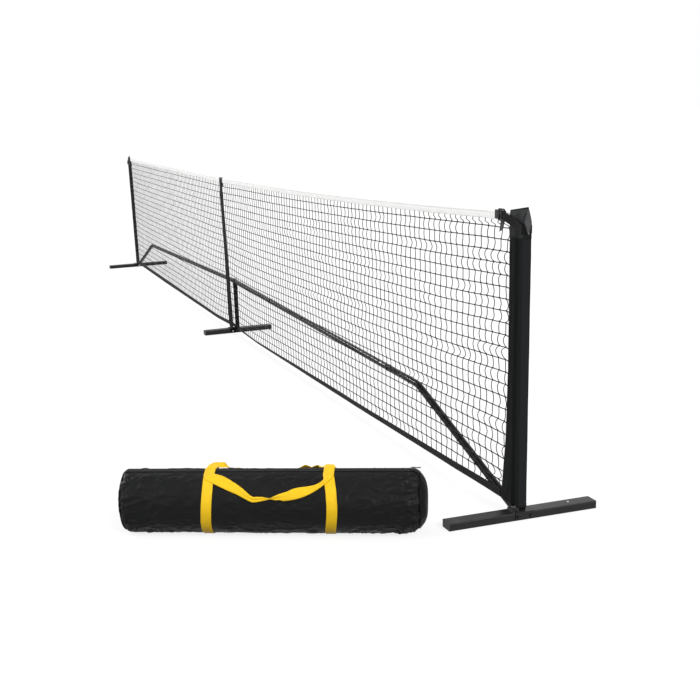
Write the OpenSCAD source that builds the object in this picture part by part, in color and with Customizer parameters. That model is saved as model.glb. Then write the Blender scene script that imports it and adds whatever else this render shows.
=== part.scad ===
// Portable court net with a knock-down tube frame, three floor feet and a carry bag.
// X runs along the net, -Y is the side that players see first, Z is up and the floor is Z = 0.
// The origin is the middle of the centre foot's underside.

/* [Net] */
// Distance between the middles of the two end posts
post_span = 6706; // [5000:1:8400]
// Height of the white tape's top edge at the end sleeves
tape_end_h = 904; // [740:1:1100]
// Height of the white tape's top edge at the middle of the net
tape_mid_h = 862; // [700:1:1050]
// Height of the white tape
tape_h = 25; // [18:1:50]
// Thickness of the folded white tape
tape_t = 4; // [2:0.5:5]
// Thickness of the netting's envelope
mesh_t = 2; // [1:0.5:3]
// Height of the black band along the bottom of the net
band_h = 28; // [18:1:40]
// Thickness of the bottom band
band_t = 3; // [2:0.5:4]
// Middle of the bottom band above the floor at the sleeves
band_end_z = 50; // [44:1:90]
// Middle of the bottom band above the floor at its lowest point
band_low_z = 29; // [22:1:44]
// Distance from the centre at which the band is lowest
band_low_x = 420; // [200:10:900]

/* [Frame] */
// Outer diameter of the frame tubes
tube_d = 25; // [20:0.5:30]
// Wall of the frame tubes
tube_wall = 1.2; // [0.8:0.1:2]
// Length of the narrow end that slides into the next tube
spigot_len = 80; // [72:1:100]
// Wall of that narrow end
spigot_wall = 1.2; // [0.8:0.1:1.6]
// Radial play between a narrow end and the tube around it
slip_play = 0.1; // [0.05:0.01:0.2]
// Height of the long bar's axis at the centre leg
bar_mid_z = 293; // [250:1:360]
// Height at which the bar's axis meets the brace's axis
bar_end_z = 249; // [210:1:300]
// Distance from the end post in to that meeting point
brace_run = 761; // [600:1:900]
// Radius of the bend in the brace, to the tube's axis
brace_bend_r = 200; // [120:5:300]
// Visible length of the first tube, from the centre to its mouth
inner_len = 720; // [500:5:860]
// Visible length of the short tube before the brace
link_len = 202; // [150:1:400]
// Length of the brace's straight start, before its bend
brace_lead = 46; // [20:1:80]
// Height of the brace's axis where it meets the end foot
brace_foot_z = 13.5; // [12:0.5:16]
// How far the stop bead at the start of a tube stands out
bead_h = 0.9; // [0.3:0.1:0.9]
// Length of that bead
bead_len = 12; // [6:1:24]

/* [Feet] */
// Width of the flat foot tubes
foot_w = 50; // [40:1:60]
// Height of the flat foot tubes
foot_h = 25; // [23:0.5:30]
// Wall of the foot tubes
foot_wall = 1.6; // [1.2:0.1:2.4]
// Corner radius of the foot tubes
foot_corner = 3; // [2:0.5:5]
// Length of an end foot with its end caps
end_foot_len = 490; // [380:1:620]
// Length of the centre foot with its end caps
mid_foot_len = 396; // [320:1:500]
// Thickness of an end cap's face
plug_face = 4; // [2:0.5:8]
// Length of an end cap inside its tube
plug_len = 22; // [12:1:40]
// Length of the long end cap that the foot's spring button holds
toe_len = 104; // [95:1:130]
// Distance from the foot's far end to its spring button
toe_button = 84; // [70:1:92]
// Thickness of the bent steel saddles on the feet
saddle_t = 3; // [2:0.5:4]
// Length of the end saddles along the foot
end_saddle_len = 60; // [59:1:90]
// Length of the centre saddle along the foot
mid_saddle_len = 25; // [20:1:26]
// Spacing of the two bolts through an end saddle
saddle_bolt_gap = 42; // [40:1:46]
// Diameter of the saddle bolts
bolt_d = 6; // [5:0.5:8]

/* [Posts and sleeves] */
// Width of the square end posts
post_w = 22; // [18:0.5:25]
// Wall of the end posts
post_wall = 1.5; // [1:0.1:2]
// How far the posts' top ends lie below the tape's top edge
post_drop = 24; // [10:1:50]
// Play between the fabric sleeve and the post
sleeve_play = 0.4; // [0.3:0.1:1]
// Thickness of the sleeve's fabric
sleeve_t = 1.2; // [0.8:0.1:2]
// Width of the sleeve from its outer face to its seam
sleeve_w = 72; // [62:1:100]
// Extra width of the sleeve at its bottom
sleeve_flare = 30; // [10:1:40]
// Height of the sleeve's bottom edge
sleeve_bottom = 36; // [33:1:60]
// Height of the hood from its lower edge to its ridge
hood_height = 82; // [70:1:110]
// How far the hood's ridge rises above the tape's top edge
hood_rise = 16; // [10:1:30]

/* [Straps] */
// Width of the tension webbing
web_w = 25; // [20:1:30]
// Thickness of the webbing
web_t = 1.5; // [1:0.1:2]
// Slope of the tension strap on its way down to the post
strap_slope = 19; // [0:1:25]
// Length of the loose strap end under the adjuster
tail_len = 36; // [20:1:80]
// Width of the adjuster ring along the net
ring_w = 36; // [34:1:50]
// Thickness of the adjuster ring
ring_t = 4; // [3:0.5:5]
// Width of the centre strap
mid_web_w = 50; // [40:1:60]
// How far the centre strap's top end leans to the left
mid_lean = 125; // [0:1:160]

/* [Snap buttons] */
// Diameter of the spring buttons
button_d = 7; // [6:0.5:8]
// How far the buttons stand out
button_out = 3.2; // [2:0.1:4]
// Radial play of a button in its hole
button_play = 0.1; // [0.05:0.01:0.2]
// Distance from a tube's mouth back to its button
button_back = 54; // [46:1:62]

/* [Bag] */
// Length of the bag with its bulging ends
bag_len = 938; // [860:1:1200]
// Height of the lying bag
bag_d = 191; // [150:1:250]
// Distance from the right post back to the bag's near end, along X
bag_back = 9.3; // [0:0.1:700]
// Distance of the bag's near end in front of the frame
bag_front = 298.3; // [290:0.1:800]
// Direction of the bag's length, turned from X
bag_turn = 65.3; // [60:0.1:75]
// Width of the yellow webbing
handle_w = 31; // [25:1:45]
// Place of the left yellow band from the bag's middle
band_left_s = -174; // [-260:1:-140]
// Place of the right yellow band from the bag's middle
band_right_s = 193; // [140:1:260]

/* [Hidden] */
$fn = 48;

half = post_span / 2;
cut = 1;
tube_r = tube_d / 2;
bore_r = tube_r - tube_wall;
spigot_r = bore_r - slip_play;
spigot_bore_r = spigot_r - spigot_wall;
bead_r = tube_r + bead_h;
seam_gap = 0.3;
net_clear = 1.5;
net_y = -(tube_r + net_clear + mesh_t / 2);

// The bar falls a little from the centre out, then the brace falls to the end foot.
corner_x = half - brace_run;
saddle_x = half - foot_w / 2 - saddle_t;
bar_fall = atan((bar_mid_z - bar_end_z) / corner_x);
brace_low_z = max(brace_foot_z, tube_r + 1);
brace_fall = atan((bar_end_z - brace_low_z) / (saddle_x - corner_x));
bend = brace_fall - bar_fall;
bend_tangent = brace_bend_r * tan(bend / 2);
bar_len = corner_x / cos(bar_fall) - bend_tangent - brace_lead;
brace_len = (saddle_x - corner_x) / cos(brace_fall) - bend_tangent;
brace_end_gap = 6;
bend_skin = 0.05;
bend_lap = 1;

// Where each tube's mouth lies along the bar: the two long tubes share what the others leave.
mouth_inner = inner_len;
mouth_link = bar_len;
mouth_outer = bar_len - link_len;
mouth_middle = (mouth_inner + mouth_outer) / 2;
tee_half = 30;

// A button sits under the tube's wall on a leaf, and its clip lies against the far wall.
flange_t = 1.2;
flange_d = 11;
leaf_t = 0.8;
leaf_w = 6;
leaf_len = 38;
leaf_play = 0.15;
dome_h = 1.4;
front_up = 48;
front_low = 125;
back_up = -45;

foot_z = foot_h / 2;
plug_play = 0.2;
toe_wall = 1.2;
foot_room = foot_z - foot_wall - plug_play - toe_wall;
plug_wall = 2;
saddle_low = 4;
bolt_play = 0.25;
bolt_head_t = 4;
bolt_head_d = 11.5;
nut_t = 5;
nut_play = 0.1;

post_top = tape_end_h - post_drop;
hood_top = tape_end_h + hood_rise;
hood_bottom = hood_top - hood_height;
sleeve_out = post_w / 2 + sleeve_play + sleeve_t;
seam_x = half + sleeve_out - sleeve_w;
flare_x = seam_x - sleeve_flare;
flare_top = 450;
flare_mid = 230;
flare_low = 70;
post_plug_t = 4;
hem_t = 3;
hem_y = net_y - hem_t / 2;

band_mid_z = foot_h + 1 + band_h / 2;
saddle_clear_x = foot_w / 2 + 8;

strap_y = hem_y - web_t - seam_gap;
ring_y = net_y - tape_t / 2 - web_t - 2 * seam_gap - ring_t;
ring_h = web_w + 10;
tail_side = 21;
ring_bar = 5;
ring_x = seam_x - 42;
ring_z = tape_end_h - 10;

bag_raise = 2;
bag_cut = 4;
bag_r = (bag_d - bag_raise + bag_cut) / 2;
bag_z = bag_raise + bag_r - bag_cut;
bag_bulge = 12;
bag_half = bag_len / 2 - bag_bulge;
bag_web_t = 1.7;
bag_gap = 0.3;
handle_swing = 68;
handle_low = 14;
handle_r = bag_r + bag_gap + bag_web_t + 0.8;
handle_t = 2;
zip_w = 30;
zip_web_t = 1.2;
chain_w = 6;
chain_h = 1.5;
chain_top = bag_r + bag_gap + zip_web_t + chain_h - 0.3;
zip_half = bag_half - 12;
slider_s = zip_half - 20;
tab_len = 24;
tab_t = 1.4;
bridge_z = 2.9;
band_stop = 76;

// ---------- shared shapes ----------

// Straight height of the tape's top edge at a distance from the centre.
function tape_z(x) = tape_mid_h + (tape_end_h - tape_mid_h) * abs(x) / half;

// Points of the bottom band's middle line, from the centre out to the sleeve.
function band_line() = [
    [0, band_mid_z],
    [saddle_clear_x, band_mid_z],
    [band_low_x, band_low_z],
    [half * 0.6, band_low_z + (band_end_z - band_low_z) * 0.4],
    [flare_x, band_end_z]
];

function raised(points, dz) = [for (p = points) [p[0], p[1] + dz]];

function reversed(points) = [for (i = [len(points) - 1:-1:0]) points[i]];

module left() {
    mirror([1, 0, 0]) children();
}

// A cylinder along X between two places.
module rod(from, to, r) {
    translate([from, 0, 0]) rotate([0, 90, 0]) cylinder(r = r, h = to - from);
}

// Draws in the plane of the net, with depth along Y from y on.
module upright(y, depth) {
    translate([0, y + depth, 0]) rotate([90, 0, 0]) linear_extrude(depth) children();
}

// Places something along the sloping bar.
module on_bar(s = 0) {
    translate([0, 0, bar_mid_z]) rotate([0, bar_fall, 0]) translate([s, 0, 0]) children();
}

module rounded_rect(w, h, r) {
    square([w - 2 * r, h], center = true);
    square([w, h - 2 * r], center = true);
    for (x = [-1, 1], y = [-1, 1])
        translate([x * (w / 2 - r), y * (h / 2 - r)]) circle(r);
}

// A rounded bar along Y in the middle of a foot, between two places.
module foot_bar(from, to, inset) {
    translate([0, to, foot_z]) rotate([90, 0, 0]) linear_extrude(to - from)
        rounded_rect(foot_w - 2 * inset, foot_h - 2 * inset, max(0.6, foot_corner - inset));
}

// ---------- frame tubes ----------

module button_hole(angle) {
    rotate([angle, 0, 0]) cylinder(d = button_d + 2 * button_play, h = tube_d);
}

// One slip-jointed tube: it starts at the last tube's mouth, where its narrow end goes in.
module slip_tube(start, mouth, hole_in, hole_out) {
    from = start + seam_gap;
    color("#2b2c2e") on_bar() difference() {
        union() {
            rod(from, mouth, tube_r);
            rod(from, from + bead_len, bead_r);
            rod(start - spigot_len, from + cut, spigot_r);
        }
        rod(from + 2, mouth + cut, bore_r);
        rod(start - spigot_len - cut, from + 3, spigot_bore_r);
        translate([start - button_back, 0, 0]) button_hole(hole_in);
        translate([mouth - button_back, 0, 0]) button_hole(hole_out);
    }
}

module bar_inner() {
    from = tee_half + seam_gap;
    color("#2b2c2e") on_bar() difference() {
        rod(from, mouth_inner, tube_r);
        rod(from - cut, mouth_inner + cut, bore_r);
        translate([mouth_inner - button_back, 0, 0]) button_hole(back_up);
    }
}

module bar_middle() {
    slip_tube(mouth_inner, mouth_middle, back_up, back_up);
}

module bar_outer() {
    slip_tube(mouth_middle, mouth_outer, back_up, front_up);
}

module bar_link() {
    slip_tube(mouth_outer, mouth_link, front_up, front_low);
}

// A length of plain tube between two places.
module pipe(from, to) {
    difference() {
        rod(from, to, tube_r);
        rod(from - cut, to + cut, bore_r);
    }
}

// The bend turns the tube from the bar's slope to the brace's.
module bent_pipe() {
    translate([0, 0, -brace_bend_r]) rotate([90, 0, 0]) rotate([0, 0, 90 - bend])
        rotate_extrude(angle = bend, $fn = 96) translate([brace_bend_r, 0]) difference() {
            circle(tube_r + bend_skin);
            circle(bore_r - bend_skin);
        }
}

module after_bend() {
    translate([brace_bend_r * sin(bend), 0, brace_bend_r * (cos(bend) - 1)])
        rotate([0, bend, 0]) children();
}

// The brace runs on from the bar's last mouth, bends, and falls to the end foot.
module brace() {
    from = seam_gap - brace_lead;
    color("#2b2c2e") on_bar(mouth_link + brace_lead) {
        difference() {
            union() {
                rod(from, bend_lap, tube_r);
                rod(from, from + bead_len, bead_r);
                rod(-brace_lead - spigot_len, from + cut, spigot_r);
            }
            rod(-brace_lead - spigot_len - cut, from + 3, spigot_bore_r);
            rod(from + 2, bend_lap + cut, bore_r);
            translate([-brace_lead - button_back, 0, 0]) button_hole(front_low);
        }
        bent_pipe();
        after_bend() pipe(-bend_lap, brace_len - brace_end_gap);
    }
}

leg_len = bar_mid_z - tee_half - foot_h - saddle_t - seam_gap;

module centre_leg() {
    color("#2b2c2e") translate([0, 0, foot_h + saddle_t]) difference() {
        cylinder(r = tube_r, h = leg_len);
        translate([0, 0, -cut]) cylinder(r = bore_r, h = leg_len + 2 * cut);
    }
}

// The tee carries both halves of the bar and stands on the leg.
module bar_tee() {
    color("#2b2c2e") difference() {
        union() {
            for (side = [0, 1]) mirror([side, 0, 0]) on_bar() {
                rod(0, tee_half, bead_r);
                rod(tee_half - cut, tee_half + spigot_len, spigot_r);
            }
            translate([0, 0, bar_mid_z - tee_half]) cylinder(r = bead_r, h = tee_half);
            translate([0, 0, bar_mid_z - tee_half - spigot_len])
                cylinder(r = spigot_r, h = spigot_len + cut);
        }
        for (side = [0, 1]) mirror([side, 0, 0]) on_bar()
            rod(6, tee_half + spigot_len + cut, spigot_bore_r);
        translate([0, 0, bar_mid_z - tee_half - spigot_len - cut])
            cylinder(r = spigot_bore_r, h = spigot_len + tee_half - 4);
        translate([0, 0, bar_mid_z]) cylinder(d = bolt_d + 2 * bolt_play, h = tube_d);
    }
}

// ---------- snap buttons ----------

// How high a button's flange lies, and how low its clip lies, inside a space of this half height.
function flange_z(room) = sqrt(room * room - pow(flange_d / 2, 2)) - leaf_play;

function clip_z(room) = leaf_play - sqrt(room * room - pow(leaf_w / 2, 2));

// A button that stands out of a wall, with the spring leaf under it running along +X.
module snap_button(wall, room) {
    top = wall + button_out;
    under = flange_z(room) - flange_t;
    dome_r = (pow(button_d / 2, 2) + dome_h * dome_h) / (2 * dome_h);
    color("#c9ccce") {
        translate([0, 0, under]) cylinder(d = button_d, h = top - dome_h - under);
        intersection() {
            translate([0, 0, top - dome_r]) sphere(r = dome_r);
            translate([0, 0, top - dome_h - cut]) cylinder(d = button_d, h = dome_h + 2 * cut);
        }
        translate([0, 0, under]) cylinder(d = flange_d, h = flange_t);
        translate([-leaf_w / 2, -leaf_w / 2, under - leaf_t])
            cube([leaf_len + leaf_w / 2 - seam_gap, leaf_w, leaf_t]);
    }
}

// The clip's fixed leaf and its fold, which ends just short of the button's leaf.
module button_clip(room) {
    low = clip_z(room);
    fold_r = (flange_z(room) - flange_t - low) / 2;
    translate([0, leaf_w / 2, 0]) rotate([90, 0, 0]) linear_extrude(leaf_w) {
        translate([4, low]) square([leaf_len - 4, leaf_t]);
        translate([leaf_len, low + fold_r]) intersection() {
            difference() {
                circle(fold_r);
                circle(fold_r - leaf_t);
            }
            translate([0, -fold_r]) square([fold_r, 2 * fold_r]);
        }
    }
}

module at_tube_button(mouth, angle) {
    on_bar(mouth - button_back) rotate([angle, 0, 0]) children();
}

module at_foot_button() {
    translate([half, end_foot_len / 2 - toe_button, foot_z]) rotate([0, 0, 90]) children();
}

module tube_button(mouth, angle) {
    at_tube_button(mouth, angle) snap_button(tube_r, spigot_bore_r);
}

module foot_button() {
    at_foot_button() snap_button(foot_z, foot_room);
}

module button_clips() {
    color("#8d9093") for (side = [0, 1]) mirror([side, 0, 0]) {
        at_tube_button(mouth_inner, back_up) button_clip(spigot_bore_r);
        at_tube_button(mouth_middle, back_up) button_clip(spigot_bore_r);
        at_tube_button(mouth_outer, front_up) button_clip(spigot_bore_r);
        at_tube_button(mouth_link, front_low) button_clip(spigot_bore_r);
        at_foot_button() button_clip(foot_room);
    }
}

// ---------- feet ----------

module bolt_holes(places) {
    for (y = places) translate([0, y, foot_z]) rod(-foot_w, foot_w, bolt_d / 2 + bolt_play);
}

end_bolts = [-saddle_bolt_gap / 2, saddle_bolt_gap / 2];
mid_bolts = [0];

module end_foot() {
    reach = end_foot_len / 2 - plug_face;
    color("#3a3b3d") translate([half, 0, 0]) difference() {
        foot_bar(-reach, reach, 0);
        foot_bar(-reach - cut, reach + cut, foot_wall);
        bolt_holes(end_bolts);
        translate([0, end_foot_len / 2 - toe_button, foot_z])
            cylinder(d = button_d + 2 * button_play, h = foot_h);
    }
}

module foot_centre() {
    reach = mid_foot_len / 2 - plug_face;
    color("#3a3b3d") difference() {
        foot_bar(-reach, reach, 0);
        foot_bar(-reach - cut, reach + cut, foot_wall);
        bolt_holes(mid_bolts);
    }
}

// A cap at the -Y end of a foot whose full length is given.
module foot_cap(length) {
    face = -length / 2;
    difference() {
        union() {
            foot_bar(face, face + plug_face, 0);
            foot_bar(face + plug_face, face + plug_face + plug_len, foot_wall + plug_play);
        }
        foot_bar(face + plug_face, face + plug_face + plug_len + cut, foot_wall + plug_play + plug_wall);
    }
}

module foot_caps() {
    color("#1d1e20") {
        for (x = [-half, half]) translate([x, 0, 0]) foot_cap(end_foot_len);
        foot_cap(mid_foot_len);
        mirror([0, 1, 0]) foot_cap(mid_foot_len);
    }
}

module foot_toe() {
    face = end_foot_len / 2;
    difference() {
        union() {
            foot_bar(face - plug_face, face, 0);
            foot_bar(face - toe_len, face - plug_face, foot_wall + plug_play);
        }
        foot_bar(face - toe_len - cut, face - plug_face, foot_wall + plug_play + toe_wall);
        translate([0, face - toe_button, foot_z])
            cylinder(d = button_d + 2 * button_play, h = foot_h);
    }
}

module foot_toes() {
    color("#1d1e20") for (x = [-half, half]) translate([x, 0, 0]) foot_toe();
}

// A bent steel saddle over a foot, drawn round the foot's middle.
module saddle_plate(length) {
    outer = foot_w / 2 + saddle_t;
    translate([0, length / 2, 0]) rotate([90, 0, 0]) linear_extrude(length) difference() {
        translate([-outer, saddle_low]) square([2 * outer, foot_h + saddle_t - saddle_low]);
        translate([-foot_w / 2, 0]) square([foot_w, foot_h]);
    }
}

module saddle_centre() {
    color("#232426") difference() {
        union() {
            saddle_plate(mid_saddle_len);
            translate([0, 0, foot_h]) cylinder(r = spigot_r, h = saddle_t + spigot_len);
        }
        translate([0, 0, foot_h - cut]) cylinder(r = spigot_bore_r, h = saddle_t + spigot_len + 2 * cut);
        bolt_holes(mid_bolts);
    }
}

// The end saddle holds the post's square spigot and the brace's round one.
module end_saddle() {
    spigot_w = post_w - 2 * post_wall - 2 * slip_play;
    brace_back = brace_end_gap + spigot_len;
    color("#232426") difference() {
        union() {
            translate([half, 0, 0]) saddle_plate(end_saddle_len);
            translate([half, 0, foot_h + saddle_t + spigot_len / 2])
                cube([spigot_w, spigot_w, spigot_len + cut], center = true);
            translate([saddle_x, 0, brace_low_z]) rotate([0, brace_fall, 0])
                rod(-brace_back, saddle_t + 2, spigot_r);
        }
        translate([half, 0, foot_h + saddle_t + spigot_len / 2 + cut])
            cube([spigot_w - 2 * post_wall, spigot_w - 2 * post_wall, spigot_len + 2 * cut], center = true);
        translate([saddle_x, 0, brace_low_z]) rotate([0, brace_fall, 0])
            rod(-brace_back - cut, -brace_end_gap, spigot_bore_r);
        translate([half, 0, 0]) bolt_holes(end_bolts);
        translate([half - foot_w / 2, -end_saddle_len, 0]) cube([foot_w, 2 * end_saddle_len, foot_h]);
    }
}

module saddle_bolt() {
    reach = foot_w / 2 + saddle_t;
    rod(-reach, reach + nut_t + 2, bolt_d / 2);
    translate([-reach - bolt_head_t, 0, 0]) rotate([0, 90, 0])
        cylinder(d = bolt_head_d, h = bolt_head_t, $fn = 6);
    translate([reach, 0, 0]) rotate([0, 90, 0]) difference() {
        cylinder(d = bolt_head_d, h = nut_t, $fn = 6);
        translate([0, 0, -cut]) cylinder(d = bolt_d + 2 * nut_play, h = nut_t + 2 * cut);
    }
}

module frame_bolts() {
    color("#b9bcbf") {
        for (y = end_bolts) {
            translate([-half, y, foot_z]) saddle_bolt();
            translate([half, y, foot_z]) mirror([1, 0, 0]) saddle_bolt();
        }
        translate([0, 0, foot_z]) mirror([1, 0, 0]) saddle_bolt();
        translate([0, 0, bar_mid_z + 2]) cylinder(d = bolt_d, h = bead_r - 2 + cut);
        translate([0, 0, bar_mid_z + bead_r + 0.1]) cylinder(d = bolt_head_d, h = bolt_head_t - 2);
    }
}

// ---------- posts, sleeves and hoods ----------

module square_bar(w, from, to) {
    translate([-w / 2, -w / 2, from]) cube([w, w, to - from]);
}

module post() {
    color("#2b2c2e") translate([half, 0, 0]) difference() {
        square_bar(post_w, foot_h + saddle_t, post_top);
        square_bar(post_w - 2 * post_wall, foot_h, post_top + cut);
    }
}

module post_plugs() {
    inside = post_w - 2 * post_wall - 2 * plug_play;
    color("#1d1e20") for (x = [-half, half]) translate([x, 0, 0]) difference() {
        union() {
            square_bar(post_w, post_top, post_top + post_plug_t);
            square_bar(inside, post_top - plug_len, post_top);
        }
        square_bar(inside - 2 * plug_wall, post_top - plug_len - cut, post_top);
    }
}

// The sleeve's plan, with u measured from the post's middle towards the net.
module sleeve_plan() {
    o = sleeve_out;
    tip = sleeve_w + sleeve_flare - o;
    polygon([
        [-o, -o], [o, -o], [o + 17, hem_y], [tip, hem_y], [tip, hem_y + hem_t],
        [o + 33, hem_y + hem_t], [o, o], [-o, o]
    ]);
}

// The sleeve from the front, as u and height, widening towards its bottom.
module sleeve_front(top) {
    w = sleeve_w - sleeve_out;
    polygon([
        [-sleeve_out, sleeve_bottom], [w + sleeve_flare, sleeve_bottom],
        [w + sleeve_flare, flare_low], [w + sleeve_flare / 3, flare_mid],
        [w, flare_top], [w, top], [-sleeve_out, top]
    ]);
}

module at_post() {
    translate([half, 0, 0]) mirror([1, 0, 0]) children();
}

module sleeve() {
    pocket = post_w + 2 * sleeve_play;
    color("#17181a") at_post() difference() {
        intersection() {
            linear_extrude(hood_bottom) sleeve_plan();
            upright(-2 * sleeve_out, 4 * sleeve_out) sleeve_front(hood_bottom);
        }
        square_bar(pocket, 0, hood_bottom + cut);
    }
}

// The hood closes the sleeve over the post's end, with a ridge that rises outwards.
module hood() {
    pocket = post_w + 2 * sleeve_play;
    w = sleeve_w - sleeve_out;
    o = sleeve_out;
    eave = hood_top - 42;
    color("#1c1d1f") at_post() difference() {
        intersection() {
            translate([0, 0, hood_bottom]) linear_extrude(hood_top - hood_bottom) sleeve_plan();
            upright(-2 * o, 4 * o)
                polygon([[-o, hood_bottom], [w, hood_bottom], [w, hood_top - 11], [-o, hood_top]]);
            translate([-o, 0, 0]) rotate([90, 0, 90]) linear_extrude(sleeve_w)
                polygon([
                    [hem_y, hood_bottom], [o, hood_bottom], [o, eave], [6, hood_top],
                    [0, hood_top], [hem_y, eave + 20]
                ]);
        }
        square_bar(pocket, hood_bottom - cut, post_top + post_plug_t + 1);
    }
}

// ---------- tension straps ----------

// The strap in plan: round the ring's outer bar, across the sleeve and round the post.
module strap_plan(front) {
    y = ring_y - web_t - seam_gap;
    bar = ring_x + ring_w / 2 - ring_bar;
    o = half + sleeve_out + seam_gap;
    back = sleeve_out + seam_gap;
    if (front) polygon([
        [bar - web_t - seam_gap, y], [ring_x + ring_w / 2 + 2, y], [half - 26, strap_y], [o, strap_y],
        [o, strap_y + web_t], [half - 26, strap_y + web_t], [ring_x + ring_w / 2 + 2, y + web_t],
        [bar - web_t - seam_gap, y + web_t]
    ]);
    if (!front) {
        translate([o, strap_y]) square([web_t, back - strap_y + web_t]);
        translate([half - 8, back]) square([o + web_t - half + 8, web_t]);
    }
}

module strap() {
    start = ring_x + ring_w / 2 - ring_bar;
    drop = (half + sleeve_out - start) * tan(strap_slope);
    y = ring_y - web_t - seam_gap;
    back_y = ring_y + ring_t + seam_gap;
    low = ring_z - web_w / 2;
    tail_x = start - web_t - seam_gap - tail_side;
    color("#141517") {
        intersection() {
            linear_extrude(2 * post_top) strap_plan(true);
            upright(-4 * sleeve_out, 8 * sleeve_out) polygon([
                [start - 10, low], [start, low], [half + sleeve_out + seam_gap, low - drop],
                [half + sleeve_out + seam_gap, low - drop + web_w], [start, low + web_w],
                [start - 10, low + web_w]
            ]);
        }
        translate([0, 0, low - drop]) linear_extrude(web_w) strap_plan(false);
        translate([start - web_t - seam_gap, y, low]) cube([web_t, back_y + web_t - y, web_w]);
        translate([start - web_t - seam_gap, back_y, low]) cube([ring_bar + 4, web_t, web_w]);
        upright(back_y, web_t) polygon([
            [tail_x, low - tail_len], [tail_x + web_w, low - tail_len + 14],
            [tail_x + web_w, low + cut], [tail_x, low + cut]
        ]);
        translate([tail_x, back_y, low]) cube([web_w - 5, web_t, cut]);
    }
}

// The moulded ring: two slots side by side with a bar between them.
module adjuster() {
    slot_h = web_w + 2;
    slot_w = (ring_w - 3 * ring_bar) / 2;
    color("#101113") upright(ring_y, ring_t) translate([ring_x, ring_z]) difference() {
        rounded_rect(ring_w, ring_h, 5);
        for (side = [-1, 1])
            translate([side * (slot_w + ring_bar) / 2, 0]) square([slot_w, slot_h], center = true);
    }
}

// The webbing loop that holds the ring to the tape.
module adjuster_loop() {
    bar = ring_x - ring_w / 2 + ring_bar;
    y0 = ring_y - web_t - seam_gap;
    y1 = net_y - tape_t / 2;
    from = bar - 30;
    to = bar + seam_gap + web_t;
    color("#2a2b2d") translate([0, 0, ring_z - web_w / 2]) linear_extrude(web_w) difference() {
        translate([from, y0]) square([to - from, y1 - y0]);
        translate([from + web_t, y0 + web_t]) square([to - from - 2 * web_t, y1 - y0 - 2 * web_t]);
    }
}

module adjuster_loops() {
    adjuster_loop();
    left() adjuster_loop();
}

// ---------- net ----------

module net_half() {
    low = raised(band_line(), band_h / 2);
    top = [[0, tape_mid_h - tape_h], [seam_x, tape_z(seam_x) - tape_h]];
    w = sleeve_flare / 3;
    color("#3c3c3c") upright(net_y - mesh_t / 2, mesh_t) polygon(concat(
        low,
        [[flare_x, flare_low], [seam_x - w, flare_mid], [seam_x, flare_top]],
        reversed(top)
    ));
}

module net_mesh() {
    net_half();
    left() net_half();
}

module tape_half() {
    color("#f2f2f0") upright(net_y - tape_t / 2, tape_t) polygon([
        [0, tape_mid_h - tape_h], [seam_x, tape_z(seam_x) - tape_h],
        [seam_x, tape_z(seam_x)], [0, tape_mid_h]
    ]);
}

module top_tape() {
    tape_half();
    left() tape_half();
}

module band_half() {
    line = band_line();
    color("#161719") upright(net_y - band_t / 2, band_t)
        polygon(concat(raised(line, -band_h / 2), reversed(raised(line, band_h / 2))));
}

module bottom_band() {
    band_half();
    left() band_half();
}

// ---------- centre strap ----------

cap_t = web_t;
cap_front = net_y - tape_t / 2 - seam_gap - cap_t;
cap_w = mid_web_w + 10;
cap_drop = tape_h + 24;

// The cap folds over the tape and takes the strap's top end on its front.
module strap_cap() {
    top = tape_z(mid_lean + cap_w / 2) + seam_gap;
    depth = tape_t + 2 * seam_gap + 2 * cap_t;
    color("#141517") translate([-mid_lean, 0, 0]) difference() {
        translate([-cap_w / 2, cap_front, top - cap_drop]) cube([cap_w, depth, cap_drop + cap_t]);
        translate([-cap_w, cap_front + cap_t, 0]) cube([2 * cap_w, depth - 2 * cap_t, top]);
    }
}

module centre_strap() {
    w = mid_web_w / 2;
    y = cap_front - web_t;
    base = foot_h + 2 * seam_gap + web_t;
    top = tape_mid_h - 4;
    color("#141517") {
        upright(y, web_t) polygon([
            [-w, base], [w, base], [w - mid_lean, top], [-w - mid_lean, top]
        ]);
        translate([-w, y - 28, base]) cube([mid_web_w, 28 + cut, web_t]);
    }
}

// Webbing over the centre foot, riveted to both of its sides.
module foot_web() {
    y = cap_front - web_t - 31;
    inner = foot_w / 2 + seam_gap;
    color("#141517") {
        translate([0, y + 33, 0]) rotate([90, 0, 0]) linear_extrude(33) difference() {
            translate([-inner - web_t, 3]) square([2 * (inner + web_t), foot_h + seam_gap + web_t - 3]);
            translate([-inner, 0]) square([2 * inner, foot_h + seam_gap]);
        }
        for (side = [-1, 1]) translate([side * (inner + web_t + 0.8), y + 16, foot_z])
            rod(-0.8, 0.8, 4);
    }
}

// ---------- carry bag ----------

module in_bag() {
    translate([half - bag_back, -bag_front, 0]) rotate([0, 0, bag_turn])
        translate([-bag_len / 2, 0, 0]) children();
}

// The bag's round section, cut flat where it lies, grown by more.
module bag_section(more) {
    intersection() {
        circle(bag_r + more, $fn = 96);
        translate([-2 * bag_r, -bag_r + bag_cut - more]) square([4 * bag_r, 4 * bag_r]);
    }
}

// Extrudes a section along the bag between two places, with x in the section as depth.
module along_bag(from, to) {
    translate([from, 0, bag_z]) rotate([90, 0, 90]) linear_extrude(to - from) children();
}

module bag_body() {
    color("#1f2022") in_bag() along_bag(-bag_half, bag_half) bag_section(0);
}

// Each end is a stuffed disc that bulges out of the tube.
module bag_ends() {
    swell_r = (bag_r * bag_r + bag_bulge * bag_bulge) / (2 * bag_bulge);
    color("#1b1c1e") for (side = [0, 1]) in_bag() mirror([side, 0, 0]) intersection() {
        translate([bag_half, 0, bag_z]) rotate([0, 90, 0]) rotate_extrude($fn = 96) intersection() {
            translate([0, bag_bulge - swell_r]) circle(swell_r, $fn = 180);
            square([bag_r - 1, bag_bulge]);
        }
        translate([0, -bag_r, bag_raise]) cube([bag_len, 2 * bag_r, 3 * bag_r]);
    }
}

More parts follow.
